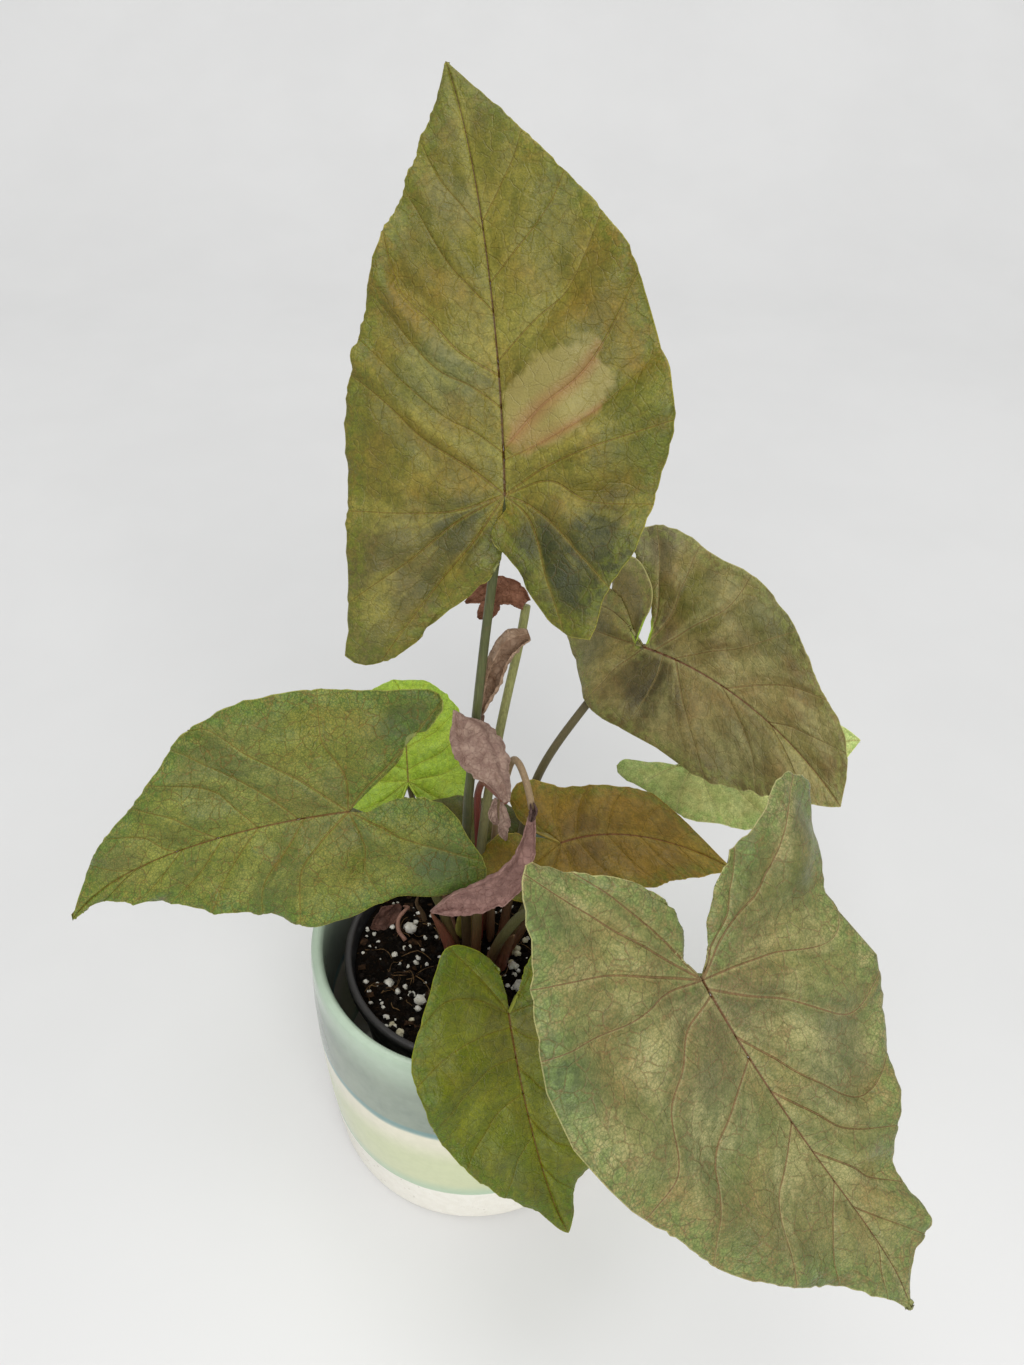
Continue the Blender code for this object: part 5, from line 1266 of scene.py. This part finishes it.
# A free place on the soil, away from the stalks
def soilSpot(rng, reach=47.0):
    while True:
        angle, radius = rng.uniform(0, 2 * math.pi), reach * math.sqrt(rng.random())
        x, y = radius * math.cos(angle), radius * math.sin(angle)
        if all(math.hypot(x - s["path"][0][0], y - s["path"][0][1]) > soilForm["clear"] for s in stalks.values()):
            return Vector((x, y, float(soilHeight(x, y))))


def anyTurn(rng):
    return Matrix.Rotation(rng.uniform(0, 6.28), 4, 'X') @ Matrix.Rotation(rng.uniform(0, 6.28), 4, 'Z')


def scatter(name, sizes, rng, flatness, sink, subdivisions, materials, reach=47.0):
    shape = bmesh.new()
    for size in sizes:
        spot = soilSpot(rng, reach) + Vector((0, 0, size * sink))
        scale = Matrix.Diagonal((size * rng.uniform(0.7, 1.3) * mm, size * rng.uniform(0.7, 1.3) * mm,
                                 size * flatness * mm, 1))
        place = Matrix.Translation(spot * mm) @ anyTurn(rng) @ scale
        if subdivisions:
            made = bmesh.ops.create_icosphere(shape, subdivisions=subdivisions, radius=1.0, matrix=place)["verts"]
        else:
            made = bmesh.ops.create_cube(shape, size=1.6, matrix=place)["verts"]
        for vertex in made:
            vertex.co += Vector([rng.uniform(-1, 1) for _ in range(3)]) * size * 0.22 * mm
    piece = finishPiece(name, meshOf(name, shape), (), materials)
    if subdivisions < 2:
        piece.data.shade_flat()


# Larger pieces of perlite at places of their own
def placeLumps(rng, materials):
    shape = bmesh.new()
    for x, y, size in soilForm["lumps"]:
        for _ in range(3):
            near = Vector((x + rng.uniform(-0.5, 0.5) * size, y + rng.uniform(-0.5, 0.5) * size, 0))
            near.z = float(soilHeight(near.x, near.y)) + 0.2 * size
            scale = Matrix.Diagonal((0.55 * size * mm, 0.5 * size * mm, 0.42 * size * mm, 1))
            place = Matrix.Translation(near * mm) @ anyTurn(rng) @ scale
            for vertex in bmesh.ops.create_icosphere(shape, subdivisions=2, radius=1.0, matrix=place)["verts"]:
                vertex.co += Vector([rng.uniform(-1, 1) for _ in range(3)]) * size * 0.07 * mm
    finishPiece("perlite_lumps", meshOf("perlite_lumps", shape), (), materials)


def buildFibres(rng):
    shape = bmesh.new()
    for _ in range(soilForm["fibres"]):
        start = soilSpot(rng, 42.0)
        heading, length = rng.uniform(0, 2 * math.pi), rng.uniform(4, 13)
        points = []
        for step in range(5):
            share = step / 4
            x = start.x + math.cos(heading + 0.9 * share) * length * share
            y = start.y + math.sin(heading + 0.9 * share) * length * share
            points.append((x, y, float(soilHeight(x, y)) + 0.5 + 1.2 * math.sin(math.pi * share) * rng.random()))
        line = resample(smoothLine(points, 4), 8)
        addTube(shape, line, [rng.uniform(0.10, 0.22)] * len(line), 5)
    finishPiece("fibres", meshOf("fibres", shape), (),
                [crumbSkin("fibre_brown", [(0.190, 0.115, 0.050), (0.070, 0.038, 0.018)])])


buildSoil()
dice = random.Random(17)
perliteWhite = crumbSkin("perlite_white", [(0.78, 0.76, 0.70), (0.60, 0.57, 0.48)])
scatter("perlite", [dice.uniform(0.35, 1.3) for _ in range(soilForm["perlite"])], dice, 0.8, 0.35, 2, [perliteWhite])
scatter("perlite_large", [dice.uniform(1.8, 2.9) for _ in range(soilForm["largePerlite"])], dice, 0.8, 0.3, 2,
        [perliteWhite])
placeLumps(dice, [crumbSkin("perlite_cream", [(0.72, 0.68, 0.52), (0.52, 0.46, 0.30)])])
scatter("bark", [dice.uniform(0.9, 2.4) for _ in range(soilForm["bark"])], dice, 0.35, 0.25, 0,
        [crumbSkin("bark_brown", [(0.060, 0.030, 0.014), (0.016, 0.009, 0.005)])])
scatter("crumbs", [dice.uniform(0.5, 1.4) for _ in range(soilForm["crumbs"])], dice, 0.8, 0.2, 1,
        [crumbSkin("crumb_dark", [(0.014, 0.009, 0.006), (0.005, 0.004, 0.003)])])
buildFibres(dice)
print("soil done")


# Floor, light and camera
studio = dict(floorColour=(0.640, 0.642, 0.642), paintedLightColour=(0.735, 0.735, 0.735), paintedLightMiddle=(0.05, -0.20, 0), sweepStart=0.9, sweepRadius=0.8, width=6.0, front=-2.0,
              cameraPlace=(0.01715, -0.2769, 0.5058), cameraPitch=41.75, focalPixels=1125.2, imageHeight=1365)


def buildFloor():
    form = studio
    profile = [(form["front"], 0.0), (form["sweepStart"], 0.0)]
    for step in range(1, 17):
        angle = math.pi / 2 * step / 16
        profile.append((form["sweepStart"] + form["sweepRadius"] * math.sin(angle),
                        form["sweepRadius"] * (1 - math.cos(angle))))
    profile.append((form["sweepStart"] + form["sweepRadius"], 3.0))
    shape = bmesh.new()
    points = [shape.verts.new((-form["width"] / 2, y, z)) for y, z in profile]
    edges = [shape.edges.new(pair) for pair in zip(points, points[1:])]
    moved = bmesh.ops.extrude_edge_only(shape, edges=edges)["geom"]
    bmesh.ops.translate(shape, vec=(form["width"], 0, 0), verts=[v for v in moved if isinstance(v, bmesh.types.BMVert)])
    bmesh.ops.recalc_face_normals(shape, faces=shape.faces)
    floor = bpy.data.objects.new("floor", meshOf("floor", shape))
    floor.data.shade_smooth()
    bpy.context.scene.collection.objects.link(floor)
    material, tree, shader = startMaterial("floor_paper", 0.9)
    cloud = useGroup(tree, groups["mottle"], {"Coordinate": objectPlace(tree), "Scale": 6.0, "Low": 0.3, "High": 0.7})
    colour = mixColour(tree, cloud, form["floorColour"], tuple(0.97 * c for c in form["floorColour"]))
    # Painted light: the paper is painted lighter in front of the pot, where the plant's shadow falls on it
    away = addNode(tree, 'ShaderNodeVectorMath', {0: objectPlace(tree), 1: form["paintedLightMiddle"]}, operation='DISTANCE')
    front = addNode(tree, 'ShaderNodeMapRange', {"Value": away.outputs["Value"], "From Min": 0.06, "From Max": 0.42,
                                                 "To Min": 1.0, "To Max": 0.0}, interpolation_type='SMOOTHSTEP')
    colour = mixColour(tree, front.outputs[0], colour, form["paintedLightColour"])
    tree.links.new(colour, shader.inputs["Base Color"])
    floor.data.materials.append(material)


def addLight(name, place, target, size, power, colour):
    light = bpy.data.lights.new(name, 'AREA')
    light.shape = 'RECTANGLE'
    light.size, light.size_y = size
    light.energy = power
    light.color = colour
    lamp = bpy.data.objects.new(name, light)
    lamp.location = place
    lamp.rotation_euler = (Vector(target) - Vector(place)).to_track_quat('-Z', 'Y').to_euler()
    bpy.context.scene.collection.objects.link(lamp)


def addCamera():
    camera = bpy.data.cameras.new("camera")
    camera.sensor_width = 36.0
    camera.lens = studio["focalPixels"] / studio["imageHeight"] * camera.sensor_width
    camera.clip_start = 0.01
    holder = bpy.data.objects.new("camera", camera)
    holder.location = studio["cameraPlace"]
    holder.rotation_euler = (math.radians(90 - studio["cameraPitch"]), 0, 0)
    bpy.context.scene.collection.objects.link(holder)
    bpy.context.scene.camera = holder


buildFloor()
addLight("key", (-0.1, 0.1, 3.2), (0, 0, 0.1), (2.2, 1.8), 40.0, (1.0, 0.995, 0.98))
addLight("front", (0.5, -3.0, 2.3), (0, 0, 0.1), (3.0, 2.2), 80.0, (1.0, 0.99, 0.97))
world = bpy.data.worlds.new("studio")
world.use_nodes = True
world.node_tree.nodes["Background"].inputs["Color"].default_value = (0.985, 0.99, 1.0, 1)
world.node_tree.nodes["Background"].inputs["Strength"].default_value = 0.58
bpy.context.scene.world = world
bpy.context.scene.view_settings.view_transform = 'Standard'
addCamera()

print("scene done")
